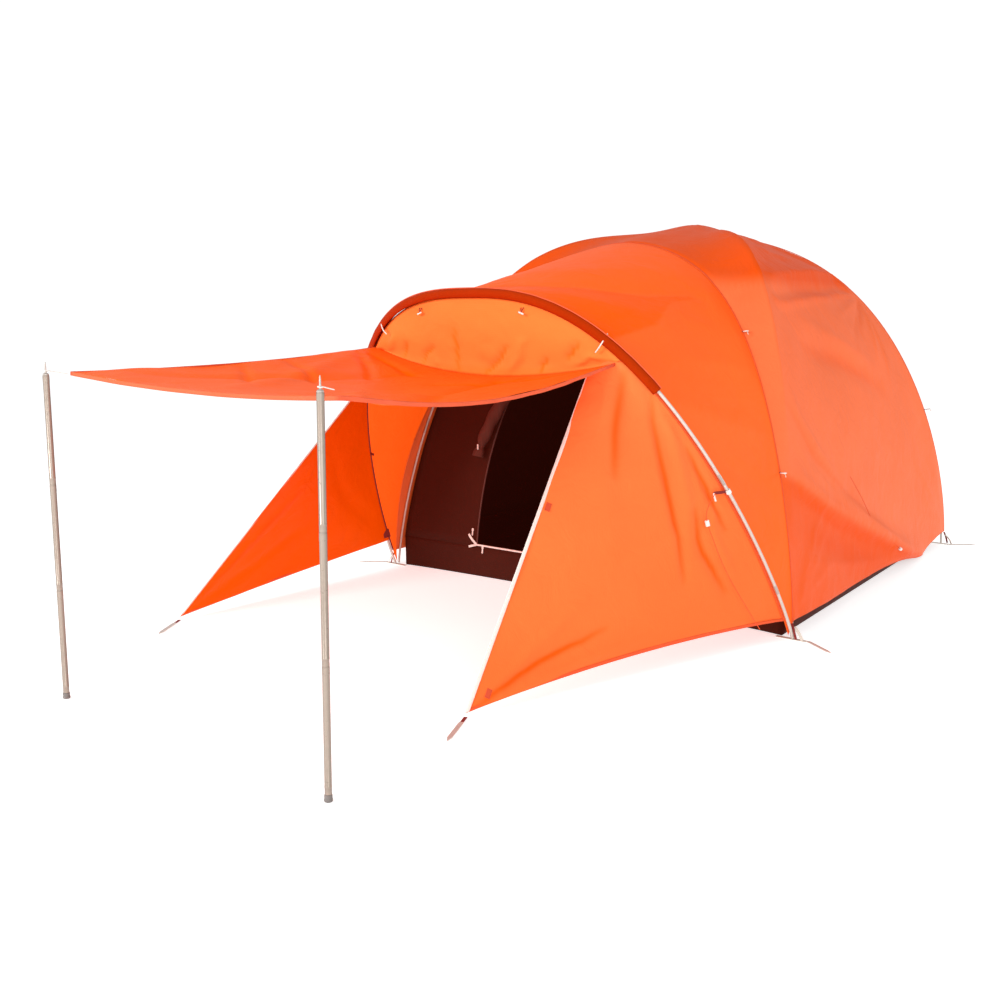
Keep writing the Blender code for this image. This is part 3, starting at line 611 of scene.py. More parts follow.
def build_porch():
    low = station(SEAM, HEM_HEIGHT)

    def point(u, v):
        hoop = arch(HOOP, lerp(-low, low, u), HOOP_INSET)
        return lerp(hoop, porch_seam(u), v)

    item = cloth("porch_cloth", [grid_of(point, 300, 60)], (0, -0.8, 0.3))
    folds = [(CREASE, 0.20, -0.034, True, 0.5), (SHOULDER, 0.10, 0.014, True, 0.5),
             (mirrored(SHOULDER), 0.10, 0.014, True, 0.5),
             (((0.75, -1.75, 1.0), (0.86, -1.3, 0.86), (0.92, -1.15, 0.8)), 0.05, 0.006),
             (((0.86, -1.65, 0.8), (0.93, -1.3, 0.62), (0.99, -1.16, 0.5)), 0.05, -0.006),
             (((0.66, -1.6, 1.14), (0.74, -1.2, 1.10), (0.80, -1.08, 1.08)), 0.04, 0.006)]
    shape_cloth(item, folds, [(0.45, 0.008, 6.0), (0.14, 0.0022, 2.0), (0.05, 0.0006, 3.0)],
                held_by([HOOP_LINE, SEAM_LINE], 0.06))

    # painted shade: a deeper zone of the roof in front of the crease and inside the shoulder, and the
    # upper porch a little deeper
    def shade(points):
        x, y, z = points.T
        crease_y = np.interp(x, (-0.6, 0.159, 0.274, 0.405, 0.499, 0.56),
                             (-1.70, -1.639, -1.549, -1.344, -1.089, -1.0))
        front = np.clip((crease_y - y) / 0.015 + 0.5, 0, 1)
        side_x = np.interp(y, (-1.826, -1.687, -1.522, -1.459, -1.236, -1.05),
                           (0.553, 0.564, 0.574, 0.5625, 0.499, 0.52))
        left = np.clip((x + 0.50) / 0.10, 0, 1)
        zone = front * np.clip((side_x - x) / 0.012 + 0.5, 0, 1) * left
        return np.clip(zone + 0.35 * np.clip((z - 1.2) / 0.2, 0, 1), 0, 1)

    tint(item, shade)
    # painted glow: the left side, seen from inside, takes the full glow and the rest only a share of it
    tint(item, lambda p: np.clip((-0.45 - p[:, 0]) / 0.25, 0, 1), name="lit")
    finish_cloth(item, ORANGE,
                 ("porch_roof", "porch_left_side", "porch_right_side"))


def build_seams():
    """The felled seam where the porch joins the body, piping on the hoop, and the rear seams."""
    low = station(SEAM, HEM_HEIGHT + 0.01)

    def seam(u, v):
        s = lerp(-low, low, u)
        place = arch(SEAM, s)
        across = unit(arm(math.copysign(1, s), -1, abs(s)) - arch(HOOP, s, HOOP_INSET))
        out = unit(place - at(0, -0.5, 0.3))
        return place + across * 0.011 * (v - 0.5) + out * (0.0012 + 0.0008 * swell(v))

    item = cloth("porch_seam_tape", [grid_of(seam, 220, 4)], (0, -0.5, 0.3))
    thicken(item, 0.0012)
    dress(item, ORANGE_TAPE)
    foot = station(HOOP, 0.09, HOOP_INSET)
    line = steps(lambda t: arch(HOOP, lerp(-foot, foot, t), HOOP_INSET), 240)
    strand("hoop_piping", line[120:], 0.0042, ORANGE_TAPE, "tent", 2)
    # the piping is real; its dark red on the left, against orange on the right, is painted shade, as
    # that side is seen from inside
    strand("left_hoop_piping", line[:121], 0.0042, DARK_TAPE, "tent", 2)
    top = station(HOOP, SLEEVE_END)

    def rim(t):
        s = lerp(-top, top, t)
        out = unit(np.cross(HOOP_AXIS, arch(HOOP, s + 0.002) - arch(HOOP, s - 0.002)))
        out = -out if out[2] < 0 else out
        return arch(HOOP, s) + out * 0.0165 + at(0, 0.006, 0.003)

    # the edge is real, but its pale colour is a painted highlight where the edge catches the light
    strand("sleeve_rim_highlight", steps(rim, 160), 0.0024, HEM, "tent", 2)
    for side, name in SIDES:
        line = steps(lambda t: body_side((side, -1), (side, 1), t, 1.0), 90)[2:]
        strand(f"{name}_rear_arm_seam", line, 0.0018, SALMON_TAPE, "tent", 2)


# ---- brow, sleeve, awning

def crease_height(across):
    return lerp(1.156, 1.117, (across + 1) / 2) - 0.080 * (1 - across ** 2)


def crease_line(across):
    """The line where the brow turns into the awning."""
    y = AWNING_Y - 0.018 - 0.05 * (1 - across ** 2)
    return at(across * DOOR_HALF_WIDTH * 0.985, y, crease_height(across))


def brow_point(u, v):
    limit = station(HOOP, DOOR_TOP + 0.03, HOOP_INSET)
    across = 2 * u - 1
    top = arch(HOOP, across * limit, HOOP_INSET)
    top[1] -= 0.004
    foot = crease_line(across)
    place = lerp(top, foot + at(0, 0.018, 0), v)
    place[1] -= 0.014 * swell(v) + 0.018 * v ** 7
    return place


def awning_edge(v, near):
    """Height of the awning's side edges, which hang slack between the door and the poles."""
    if near:
        return lerp(1.118, 1.064, v) - 0.070 * (4 * v * (1 - v)) ** 1.2
    return lerp(1.156, 1.087, v) - 0.016 * 4 * v * (1 - v)


def awning_point(u, v):
    across = 2 * u - 1
    start = crease_line(across)
    half = lerp(DOOR_HALF_WIDTH * 0.985, 0.606, v) - 0.022 * swell(v)
    sides = lerp(awning_edge(v, False), awning_edge(v, True), u)
    back = start[2] - lerp(awning_edge(0, False), awning_edge(0, True), u)
    front = -0.024 * (1 - across ** 2)
    y = lerp(start[1], AWNING_FRONT_Y + 0.02 * (1 - across ** 2), v)
    return at(across * half, y, sides + back * (1 - v) ** 1.5 + front * v)


def build_brow():
    brow = cloth("brow_cloth", [grid_of(brow_point, 90, 30)], (0, -1.2, 1.0))
    folds = [(((-0.32, -1.88, 1.05), (-0.27, -1.89, 1.14), (-0.20, -1.90, 1.18)), 0.012, -0.011),
             (((-0.24, -1.88, 1.05), (-0.20, -1.90, 1.12)), 0.010, 0.010, False, 0.7),
             (((0.02, -1.90, 1.05), (0.11, -1.91, 1.12), (0.17, -1.92, 1.19)), 0.012, -0.013),
             (((0.12, -1.89, 1.05), (0.20, -1.91, 1.13), (0.24, -1.92, 1.22)), 0.014, 0.012),
             (((0.28, -1.88, 1.07), (0.33, -1.90, 1.14)), 0.010, -0.009, False, 0.7),
             (((-0.10, -1.89, 1.07), (-0.083, -1.93, 1.27)), 0.020, -0.010),
             (((0.03, -1.90, 1.12), (0.053, -1.94, 1.28)), 0.020, 0.009),
             (((0.42, -1.86, 1.10), (0.50, -1.88, 1.15), (0.56, -1.87, 1.13)), 0.011, 0.010),
             (((0.40, -1.87, 1.13), (0.47, -1.89, 1.20)), 0.012, -0.009),
             (((-0.50, -1.87, 1.14), (-0.43, -1.90, 1.22)), 0.014, 0.010),
             (((-0.42, -1.87, 1.10), (-0.36, -1.90, 1.20)), 0.012, -0.009)]
    edges = [steps(lambda u: brow_point(u, end), 20) for end in (0, 1)]
    shape_cloth(brow, folds, [(0.20, 0.008, 11.0), (0.07, 0.0022, 5.0)], held_by(edges, 0.035))
    # painted shade: the brow deeper towards its crease with the awning, and in its folds
    tint(brow, lambda p: np.clip((1.10 - p[:, 2]) / 0.05, 0, 1) * 0.5, folds, 0.8)
    finish_cloth(brow, BROW, ("door_brow",))


def build_awning():
    panel = cloth("awning_cloth", [grid_of(awning_point, 90, 110)], UNDER_AWNING)
    folds = [(((0.16, -1.95, 1.05), (0.28, -2.5, 1.03), (0.5, -3.1, 1.05)), 0.05, -0.014),
             (((-0.2, -1.95, 1.05), (-0.28, -2.5, 1.04), (-0.5, -3.15, 1.07)), 0.05, -0.014),
             (((0.57, -1.93, 1.11), (0.35, -2.3, 1.04), (0.05, -3.0, 1.03)), 0.045, 0.012),
             (((-0.57, -1.98, 1.14), (-0.40, -2.4, 1.08), (-0.1, -3.1, 1.04)), 0.045, 0.012),
             (((0.60, -3.25, 1.06), (0.3, -2.9, 1.03), (0.0, -2.6, 1.03)), 0.04, 0.010),
             (((-0.58, -1.95, 1.14), (-0.35, -2.02, 1.10), (-0.12, -2.12, 1.07)), 0.022, -0.011),
             (((-0.58, -2.00, 1.14), (-0.36, -2.16, 1.09), (-0.15, -2.35, 1.06)), 0.022, -0.010),
             (((-0.59, -2.40, 1.11), (-0.40, -2.46, 1.08), (-0.18, -2.60, 1.05)), 0.020, -0.009),
             (((-0.59, -2.62, 1.10), (-0.42, -2.72, 1.07), (-0.20, -2.90, 1.05)), 0.020, -0.009),
             (((0.30, -1.95, 1.06), (0.20, -2.10, 1.04), (0.0, -2.25, 1.03)), 0.022, -0.009),
             (((0.55, -1.95, 1.10), (0.36, -2.02, 1.06), (0.16, -2.06, 1.05)), 0.020, -0.010)]
    shape_cloth(panel, folds, [(0.30, 0.007, 21.0), (0.09, 0.0016, 8.0)],
                held_by([steps(lambda t: crease_line(2 * t - 1), 20)], 0.15))
    # painted shade: the awning deeper towards the door, and in its folds
    tint(panel, lambda p: np.clip(0.45 + (p[:, 1] + 2.4) * 0.3, 0, 0.8), folds, 0.5)
    finish_cloth(panel, ORANGE, ("awning_panel",), "awning")


def build_awning_hem():
    """A turned-down hem along the near, front and far edges of the awning."""
    def edge(t):
        if t < 0.4:
            return awning_point(1, t / 0.4)
        if t < 0.6:
            return awning_point(1 - (t - 0.4) / 0.2, 1)
        return awning_point(0, (1.0 - t) / 0.4)

    def outward(t):
        if t < 0.4:
            return at(1, 0, 0)
        return at(0, -1, 0) if t < 0.6 else at(-1, 0, 0)

    def point(u, v):
        place = edge(u) + outward(u) * 0.0016
        slack = 0.0022 * math.sin(u * 160) * v + 0.0016 * math.sin(u * 71)
        return place + at(0, 0, 0.002 - 0.013 * v) + outward(u) * slack

    item = cloth("awning_hem", [grid_of(point, 260, 5)], (0, -2.6, 1.06))
    thicken(item, HEAVY_CLOTH)
    dress(item, HEM, "awning")


def build_sleeve():
    """The pole sleeve sewn along the top of the hoop, gathered a little along its length."""
    limit = station(HOOP, SLEEVE_END)
    back = unit(HOOP_AXIS)

    def point(u, v):
        s = lerp(-limit, limit, u)
        ahead = arch(HOOP, s + 0.002) - arch(HOOP, s - 0.002)
        out = unit(np.cross(back, ahead))
        if out[2] < 0 or (abs(out[2]) < 0.3 and out[0] * s < 0):
            out = -out
        angle = math.radians(lerp(-128, 128, v))
        radius = 0.0158 + 0.0005 * math.sin(u * 110 + 2 * v) * swell(v) + 0.006 * abs(2 * v - 1) ** 3
        return arch(HOOP, s) + radius * (math.cos(angle) * out - math.sin(angle) * back)

    item = cloth("hoop_sleeve_cloth", [grid_of(point, 260, 18)], (0, -1.6, 0.6))
    finish_cloth(item, SLEEVE, ("hoop_sleeve",),
                 thickness=0.0012)


# ---- wings

def wing_edge(side, v):
    """The zipped front edge, v from its top at the door to its peg."""
    half, corner = (0.475, RIGHT_CORNER) if side > 0 else (0.600, LEFT_CORNER)
    return lerp(at(side * half, -1.852, 1.075), at(*corner, 0.014), v)


def wing_point(side, u, v):
    """u runs from the hoop to the zipped edge, v from the top to the ground."""
    high = station(HOOP, 1.17, HOOP_INSET)
    low = station(HOOP, 0.085 if side > 0 else 0.15, HOOP_INSET)
    back = arch(HOOP, side * lerp(high, low, v), HOOP_INSET)
    place = lerp(back, wing_edge(side, v), u)
    arc = (0.035 if side > 0 else 0.006) * swell(u) ** 0.8
    place[2] += arc * v ** 6
    return place


def build_wings():
    right = cloth("right_wing_cloth", [grid_of(lambda u, v: wing_point(1, u, v), 96, 110)],
                  PORCH_MIDDLE)
    tip = (0.556, -2.66, 0.02)
    folds = [(((0.706, -1.787, 1.02), (0.716, -1.783, 0.90), (0.7585, -1.773, 0.732),
               (0.827, -1.747, 0.442), (0.85, -1.75, 0.30)), 0.020, -0.018, False, 0.5),
             (((0.75, -1.76, 0.95), (0.79, -1.73, 0.75), (0.85, -1.70, 0.50)), 0.030, 0.018),
             (((0.8087, -1.70, 0.819), (0.873, -1.63, 0.644), (0.93, -1.56, 0.48)), 0.016, -0.014),
             (((0.82, -1.68, 0.60), (0.87, -1.66, 0.42), (0.95, -1.56, 0.24)), 0.022, -0.012),
             (((0.88, -1.60, 0.62), (0.90, -1.62, 0.48), (0.96, -1.52, 0.30)), 0.016, 0.010),
             (((0.62, -1.84, 1.10), (0.63, -1.90, 0.90), (0.66, -1.95, 0.70)), 0.030, -0.010),
             (((0.56, -1.86, 1.08), (0.58, -1.92, 0.90)), 0.020, 0.007),
             ((tip, (0.612, -2.47, 0.055), (0.694, -2.222, 0.10), (0.803, -1.915, 0.14)),
              0.016, 0.011, False, 0.7),
             ((tip, (0.63, -2.38, 0.12), (0.74, -2.10, 0.20)), 0.018, -0.009, False, 0.7),
             ((tip, (0.61, -2.42, 0.16), (0.70, -2.15, 0.32)), 0.020, 0.007, False, 0.7),
             (((0.873, -1.653, 0.53), (0.80, -1.9, 0.46), (0.70, -2.15, 0.38)), 0.03, 0.007),
             (((0.50, -1.90, 0.98), (0.60, -1.98, 0.70), (0.68, -2.0, 0.45)), 0.06, 0.010)]
    hoop = held_by([HOOP_LINE], 0.05)
    shape_cloth(right, folds, [(0.42, 0.009, 31.0), (0.12, 0.0018, 12.0)], hoop)
    # painted shade: the near wing deeper towards the ground, and in its folds
    tint(right, lambda p: np.clip((1.05 - p[:, 2]) / 1.0, 0, 1) * 0.4, folds, 0.75)
    finish_cloth(right, WING, ("right_wing",))
    left = cloth("left_wing_cloth", [grid_of(lambda u, v: wing_point(-1, u, v), 80, 90)],
                 PORCH_MIDDLE)
    folds = [(((-1.09, -2.53, 0.03), (-1.05, -2.2, 0.20), (-1.0, -1.9, 0.36)), 0.03, 0.006),
             (((-1.09, -2.53, 0.03), (-1.03, -2.2, 0.42), (-0.95, -2.0, 0.62)), 0.03, -0.005),
             (((-1.08, -1.40, 0.25), (-1.0, -1.7, 0.45), (-0.93, -1.9, 0.7)), 0.04, 0.007)]
    shape_cloth(left, folds, [(0.42, 0.008, 17.0), (0.12, 0.0016, 13.0)], hoop)
    # painted shade: the far wing, seen from inside, deeper towards the top, and in its folds
    tint(left, lambda p: np.clip((p[:, 2] - 0.2) / 0.9, 0, 1), folds, 0.5)
    finish_cloth(left, FAR_WING, ("left_wing",))
    for side, name in SIDES:
        build_zip(side, name)
        build_wing_hem(side, name)


def build_zip(side, name):
    """Zip tape with its coil down the front edge of a wing."""
    along = unit(wing_edge(side, 1) - wing_edge(side, 0))
    inward = unit(wing_point(side, 0, 0.5) - wing_edge(side, 0.5))
    face = unit(np.cross(along, inward))

    def tape(u, v):
        place = wing_edge(side, u) - inward * 0.0035 + inward * 0.013 * v
        return place + face * 0.0012 * swell(v) * side

    item = cloth(f"{name}_zip_tape", [grid_of(tape, 160, 4)], PORCH_MIDDLE)
    thicken(item, 0.0030)
    dress(item, PINK_TAPE)
    line = [wing_edge(side, i / 420) - inward * 0.0045 + face * 0.0008 * (-1) ** i
            for i in range(421)]
    strand(f"{name}_zip_coil", line, 0.0016, WHITE)


def build_wing_hem(side, name):
    def point(u, v):
        place = wing_point(side, u, 1.0)
        up = unit(wing_point(side, u, 0.985) - place)
        return place + up * (0.014 * v - 0.001) + unit((side, -0.3, 0)) * 0.0012

    item = cloth(f"{name}_wing_hem", [grid_of(point, 96, 3)], PORCH_MIDDLE)
    thicken(item, HEAVY_CLOTH)
    dress(item, ORANGE_TAPE)


# ---- round things

def strand(name, points, radius, material, body="tent", resolution=3, nodes=()):
    """A round cord, tube or bead along a line, as a mesh with closed ends."""
    curve = bpy.data.curves.new(name, "CURVE")
    curve.dimensions = "3D"
    curve.bevel_depth = radius
    curve.bevel_resolution = resolution
    curve.use_fill_caps = True
    spline = curve.splines.new("POLY")
    spline.points.add(len(points) - 1)
    for target, place in zip(spline.points, points):
        target.co = (*place, 1.0)
    item = bpy.data.objects.new(name, curve)
    SCENE.collection.objects.link(item)
    pick(item)
    bpy.ops.object.convert(target="MESH")
    item = bpy.context.object
    item.data.shade_smooth()
    item.select_set(False)
    item.data.materials.clear()
    dress(item, material, body, nodes)
    return item


def smooth_line(corners, count):
    """A smooth line through a few corners, as evenly numbered points."""
    line = []
    for first in range(len(corners) - 1):
        p1, p2 = Vector(corners[first]), Vector(corners[first + 1])
        p0 = Vector(corners[first - 1]) if first else p1 * 2 - p2
        p3 = Vector(corners[first + 2]) if first + 2 < len(corners) else p2 * 2 - p1
        for step in range(count):
            t = step / count
            a = 2 * p1 + (p2 - p0) * t + (2 * p0 - 5 * p1 + 4 * p2 - p3) * t ** 2
            line.append((a + (3 * p1 - p0 - 3 * p2 + p3) * t ** 3) / 2)
    line.append(Vector(corners[-1]))
    return line


def ferrules(name, line, radius, shares):
    """Short metal sleeves where the sections of a pole join."""
    for i, share in enumerate(shares):
        start = int(share * (len(line) - 1))
        strand(f"{name}_ferrule_{i + 1}", line[start:start + 3], radius, STEEL, "tent", 4)


def main_pole(letter, first, second, drop):
    """A pole from one foot over the peak to the other, drop lower than its arms at the peak."""
    def point(ends, share):
        place = arm(*ends, arm_station(ends[1], HOOP_TUBE_RADIUS, MAIN_INSET) * share, MAIN_INSET, 0.0)
        place[2] -= drop * math.exp(-(math.hypot(place[0], place[1]) / 0.12) ** 2)
        return place

    line = steps(lambda t: point(first, t), 90)[::-1] + steps(lambda t: point(second, t), 90)[1:]
    name = f"main_tube_{letter}"
    strand(name, line, MAIN_TUBE_RADIUS, POLE, "tent", 4, (f"main_pole_{letter}",))
    ferrules(name, line, 0.0062, (0.12, 0.25, 0.375, 0.5, 0.625, 0.75, 0.88))


def build_poles():
    main_pole("a", LEFT_FRONT, RIGHT_REAR, 0.0125)
    main_pole("b", RIGHT_FRONT, LEFT_REAR, 0.0)
    limit = station(HOOP, HOOP_TUBE_RADIUS)
    line = steps(lambda t: arch(HOOP, lerp(-limit, limit, t)), 200)
    strand("hoop_tube", line, HOOP_TUBE_RADIUS, POLE, "tent", 5, ("porch_hoop_pole",))
    ferrules("hoop_tube", line, 0.0073, (0.09, 0.21, 0.36, 0.64, 0.79, 0.91))


def turned(name, profile, centre, material, body, nodes=()):
    """A turned piece: (radius, height) pairs run round a vertical axis at a centre."""
    bpy.ops.object.select_all(action="DESELECT")
    bpy.ops.mesh.primitive_circle_add(vertices=40, radius=max(profile[0][0], 1e-4),
                                      location=(*centre, profile[0][1]))
    item = bpy.context.object
    item.name = name
    bpy.ops.object.mode_set(mode="EDIT")
    bpy.ops.mesh.select_all(action="SELECT")
    for (r0, z0), (r1, z1) in zip(profile, profile[1:]):
        bpy.ops.mesh.extrude_edges_move(TRANSFORM_OT_translate={"value": (0, 0, z1 - z0)})
        scale = max(r1, 1e-4) / max(r0, 1e-4)
        bpy.ops.transform.resize(value=(scale, scale, 1), center_override=(*centre, z1))
    bpy.ops.mesh.select_all(action="SELECT")
    bpy.ops.mesh.remove_doubles(threshold=0.00003)
    bpy.ops.mesh.select_all(action="DESELECT")
    bpy.ops.mesh.select_non_manifold()
    bpy.ops.mesh.edge_face_add()
    bpy.ops.mesh.select_all(action="SELECT")
    bpy.ops.mesh.normals_make_consistent(inside=False)
    bpy.ops.object.mode_set(mode="OBJECT")
    bpy.ops.object.transform_apply(location=True, rotation=True, scale=True)
    bpy.ops.object.shade_smooth_by_angle(angle=math.radians(35))
    item.select_set(False)
    dress(item, material, body, nodes)


def build_props():
    """Two awning poles, each of three tubes with spigots, a rubber foot and a spike."""
    r, step, top = PROP_RADIUS, (PROP_HEIGHT - 0.020) / 3, PROP_HEIGHT + 0.0003
    foot = [(0.0001, 0.0), (0.0112, 0.0), (0.0121, 0.0015), (0.0121, 0.006), (0.0112, 0.0075),
            (0.0114, 0.016), (0.0105, 0.0195), (0.0078, 0.0196), (0.0078, 0.0300), (0.0001, 0.0300)]
    spike = [(0.0080, top - 0.014), (0.0080, top), (0.0095, top + 0.0004), (0.0095, top + 0.0036),
             (0.0082, top + 0.0048), (0.0030, top + 0.0085), (0.0026, top + 0.030),
             (0.0014, top + 0.0412), (0.0001, top + 0.042)]
    for side, name in SIDES:
        centre = (side * PROP_X, PROP_Y)
        for i, part in enumerate(("lower", "middle", "upper")):
            body = f"{name}_prop_{part}"
            low, high = 0.0203 + step * i, 0.020 + step * (i + 1)
            tube = [(r - 0.0012, low), (r, low + 0.0004), (r, low + 0.018),
                    (r + 0.0003, low + 0.0185), (r + 0.0003, low + 0.0225), (r, low + 0.023),
                    (r, high - 0.0225), (r + 0.0004, high - 0.022), (r + 0.0004, high - 0.003),
                    (r, high - 0.0025), (r, high - 0.0002), (r - 0.0012, high)]
            turned(f"{name}_awning_tube_{part}", tube, centre, ALLOY, body, (body,))
            if part != "upper":
                spigot = [(r - 0.0016, high - 0.0006), (r - 0.0016, high + 0.047),
                          (r - 0.004, high + 0.0485)]
                turned(f"{name}_spigot_{part}", spigot, centre, STEEL, body)
        turned(f"{name}_rubber_foot", foot, centre, RUBBER, f"{name}_prop_lower",
               (f"{name}_prop_foot",))
        turned(f"{name}_spike", spike, centre, STEEL, f"{name}_prop_upper",
               (f"{name}_prop_spike",))


CORNER_CORD = ((0.0000, 0.0058, 1.090), (0.0050, 0.0029, 1.0905), (0.0050, -0.0029, 1.091),
               (0.0000, -0.0058, 1.0915), (-0.0050, -0.0029, 1.092), (-0.0056, 0.0035, 1.0925),
               (-0.0064, 0.0110, 1.0915), (-0.0090, 0.0300, 1.0880), (-0.0130, 0.0500, 1.0840),
               (-0.0165, 0.0640, 1.0815))
TENSION_LINE = ((0.910, -1.640, 0.640), (0.893, -1.672, 0.560), (0.915, -1.645, 0.460),
                (0.945, -1.590, 0.340), (0.985, -1.520, 0.220), (1.030, -1.430, 0.085))
SIDE_GUY = ((1.048, -0.470, 0.585), (1.066, -0.330, 0.470), (1.086, -0.180, 0.335),
            (1.110, 0.030, 0.220), (1.132, 0.240, 0.120))


def free_cord(name, corners, count, material, body, node):
    """A free cord along a smooth route."""
    line = smooth_line(corners, count)
    item = strand(name, line, CORD_RADIUS, material, body, nodes=(node,))


def build_cords():
    for side, name in SIDES:
        corners = [(side * (PROP_X + x), PROP_Y + y, z) for x, y, z in CORNER_CORD]
        free_cord(f"{name}_tip_cord", corners, 5, CORD, f"{name}_prop_upper",
                  f"{name}_corner_cord")
    free_cord("hoop_tension_cord", TENSION_LINE, 14, ORANGE_TAPE, "tent", "right_tension_line")
    free_cord("side_cord", SIDE_GUY, 14, ORANGE_TAPE, "tent", "side_guy_cord")


# ---- inner tent

def inner_arm(side, end, height):
    """Where a corner of the inner tent reaches a height."""
    return arm(side, end, arm_station(end, height, INNER_INSET), INNER_INSET, 0.0)


def front_wall_spot(x, height, out):
    """A spot on the inner front wall, brought out from it a little."""
    y, above = inner_arm(1, -1, height)[1], inner_arm(1, -1, height + 0.01)[1]
    return at(x, y, height) + unit((0, -1, (above - y) / 0.01)) * out


def doorway(count):
    """Points round the doorway on the inner front wall, from its right foot over the top."""
    def point(t):
        angle = math.pi * t
        x = math.copysign(abs(math.cos(angle)) ** 0.8, math.cos(angle)) * DOORWAY_HALF_WIDTH
        return x, DOORWAY_SILL + DOORWAY_RISE * max(math.sin(angle), 0.0) ** 0.9
    return steps(point, count)


def inner_side(first, second, columns):
    return grid_of(lambda u, v: body_side(first, second, v, u, INNER_INSET, 0.0, TRAY_JOIN),
                   columns, 56)


def build_inner():
    sides = cloth("inner_walls", [inner_side(RIGHT_FRONT, RIGHT_REAR, 50),
                                  inner_side(LEFT_FRONT, LEFT_REAR, 50),
                                  inner_side(LEFT_REAR, RIGHT_REAR, 50)], BODY_MIDDLE)
    shape_cloth(sides, (), [(0.35, 0.005, 41.0), (0.10, 0.002, 14.0)],
                lambda p: np.clip((p[:, 2] - TRAY_WALL) / 0.2, 0, 1))
    finish_cloth(sides, BROWN,
                 ("inner_right_wall", "inner_left_wall", "inner_rear_wall"))
    front = cloth("inner_front", [inner_side(LEFT_FRONT, RIGHT_FRONT, 60)], BODY_MIDDLE)
    thicken(front, CLOTH)
    builder = bmesh.new()
    outline = doorway(72)
    near = [builder.verts.new((x, FRONT_Y - 0.1, z)) for x, z in outline]
    far = [builder.verts.new((x, -0.5, z)) for x, z in outline]
    builder.faces.new(near)
    builder.faces.new(far[::-1])
    for i in range(len(outline)):
        j = (i + 1) % len(outline)
        builder.faces.new((near[i], far[i], far[j], near[j]))
    bmesh.ops.recalc_face_normals(builder, faces=builder.faces)
    cutter = object_of(builder, "doorway_cutter")
    cut = front.modifiers.new("doorway", "BOOLEAN")
    cut.object = cutter
    cut.solver = "EXACT"
    apply_all(front)
    bpy.data.objects.remove(cutter)
    front.data.shade_smooth()
    dress(front, BROWN, nodes=("inner_front_wall",))


def build_tray():
    """Tray floor: a flat bottom, drawn in at the doorway, whose walls meet the inner tent."""
    w, l = FLOOR_HALF_WIDTH + 0.02, FLOOR_HALF_LENGTH

    def floor_line(end, u):
        drawn_in = 0.05 * swell(u) ** 0.7 if end < 0 else 0.0
        return at(lerp(-w, w, u), end * l + drawn_in, GROUND_LIFT)

    def wall(low, corners, out):
        """A wall from its line on the ground up to two corners of the inner tent."""
        high = [inner_arm(*corner, TRAY_JOIN) for corner in corners]
        return grid_of(lambda u, v: lerp(low(u), lerp(*high, u), v) + at(*out) * swell(u) * swell(v),
                       46, 10)

    def side_line(side):
        front, rear = (floor_line(end, (side + 1) / 2) for end in (-1, 1))
        return lambda u: lerp(front, rear, u)

    grids = [grid_of(lambda u, v: lerp(floor_line(-1, u), floor_line(1, u), v), 46, 46)]
    for end in (-1, 1):
        grids.append(wall(lambda u: floor_line(end, u), ((-1, end), (1, end)), (0, end * 0.008, 0)))
    for side in (-1, 1):
        grids.append(wall(side_line(side), ((side, -1), (side, 1)), (side * 0.008, 0, 0)))
    item = cloth("tray_cloth", grids, (0, 0, 0.1))
    finish_cloth(item, TRAY, ("floor_tray",))


def build_door_trim():
    """Binding round the doorway, the sill zip with its ribbon pulls, and the rolled door."""
    half = DOORWAY_HALF_WIDTH
    strand("doorway_binding", [front_wall_spot(x, z, 0.003) for x, z in doorway(90)], 0.0042,
           BROWN_TAPE)
    sill = steps(lambda t: front_wall_spot(lerp(-half, half, t), DOORWAY_SILL - 0.004, 0.004), 59)
    strand("sill_zip", sill, 0.0045, PINK_TAPE)
    for name, reach in (("upper", (-0.042, -0.012, 0.052)), ("lower", (-0.040, -0.014, -0.012))):
        tab(f"sill_ribbon_{name}", sill[0], sill[0] + at(*reach), 0.011, (0.3, -1, 0.2),
            PINK_TAPE, bulge=0.010)
    roll(steps(lambda t: front_wall_spot(lerp(-half - 0.02, -0.28, t ** 1.4),
                                         lerp(0.60, 1.22, t), 0.040), 40))


def roll(points):
    """A door panel rolled up: a spiral of cloth along a line, squeezed where it is tied."""
    def point(u, v):
        spot = u * (len(points) - 1)
        i = min(int(spot), len(points) - 2)
        centre = lerp(points[i], points[i + 1], spot - i)
        ahead = unit(points[i + 1] - points[i])
        first = unit(np.cross(ahead, (0, 1, 0)))
        second = np.cross(ahead, first)
        squeeze = 1 - 0.35 * math.exp(-((u - 0.08) / 0.03) ** 2)
        squeeze -= 0.2 * math.exp(-((u - 0.7) / 0.04) ** 2)
        angle = v * math.pi * 4.6
        uneven = 1 + 0.08 * math.sin(u * 40 + angle * 2)
        radius = lerp(0.039, 0.009, v) * lerp(0.75, 1.1, u) * squeeze * uneven
        return centre + radius * (math.cos(angle) * first + math.sin(angle) * second)

    item = cloth("rolled_door", [grid_of(point, 90, 70)], BODY_MIDDLE, weld=0.00001)
    finish_cloth(item, DOOR, ("door_roll",))


# ---- small fittings

def tab(name, start, end, width, normal, material, thickness=0.0018, bulge=0.0, nodes=()):
    """A short piece of webbing between two places."""
    a, b = at(*start), at(*end)
    way = unit(b - a)
    across = unit(np.cross(way, normal))
    up = unit(np.cross(across, way))

    def point(u, v):
        return lerp(a, b, u) + across * width * (v - 0.5) + up * bulge * swell(u)

    item = cloth(name, [grid_of(point, 14, 4)], a - at(*normal))
    thicken(item, thickness)
    bevel = item.modifiers.new("edges", "BEVEL")
    bevel.width = thickness * 0.3
    bevel.segments = 2
    bevel.limit_method = "ANGLE"
    apply_all(item)
    dress(item, material, nodes=nodes)


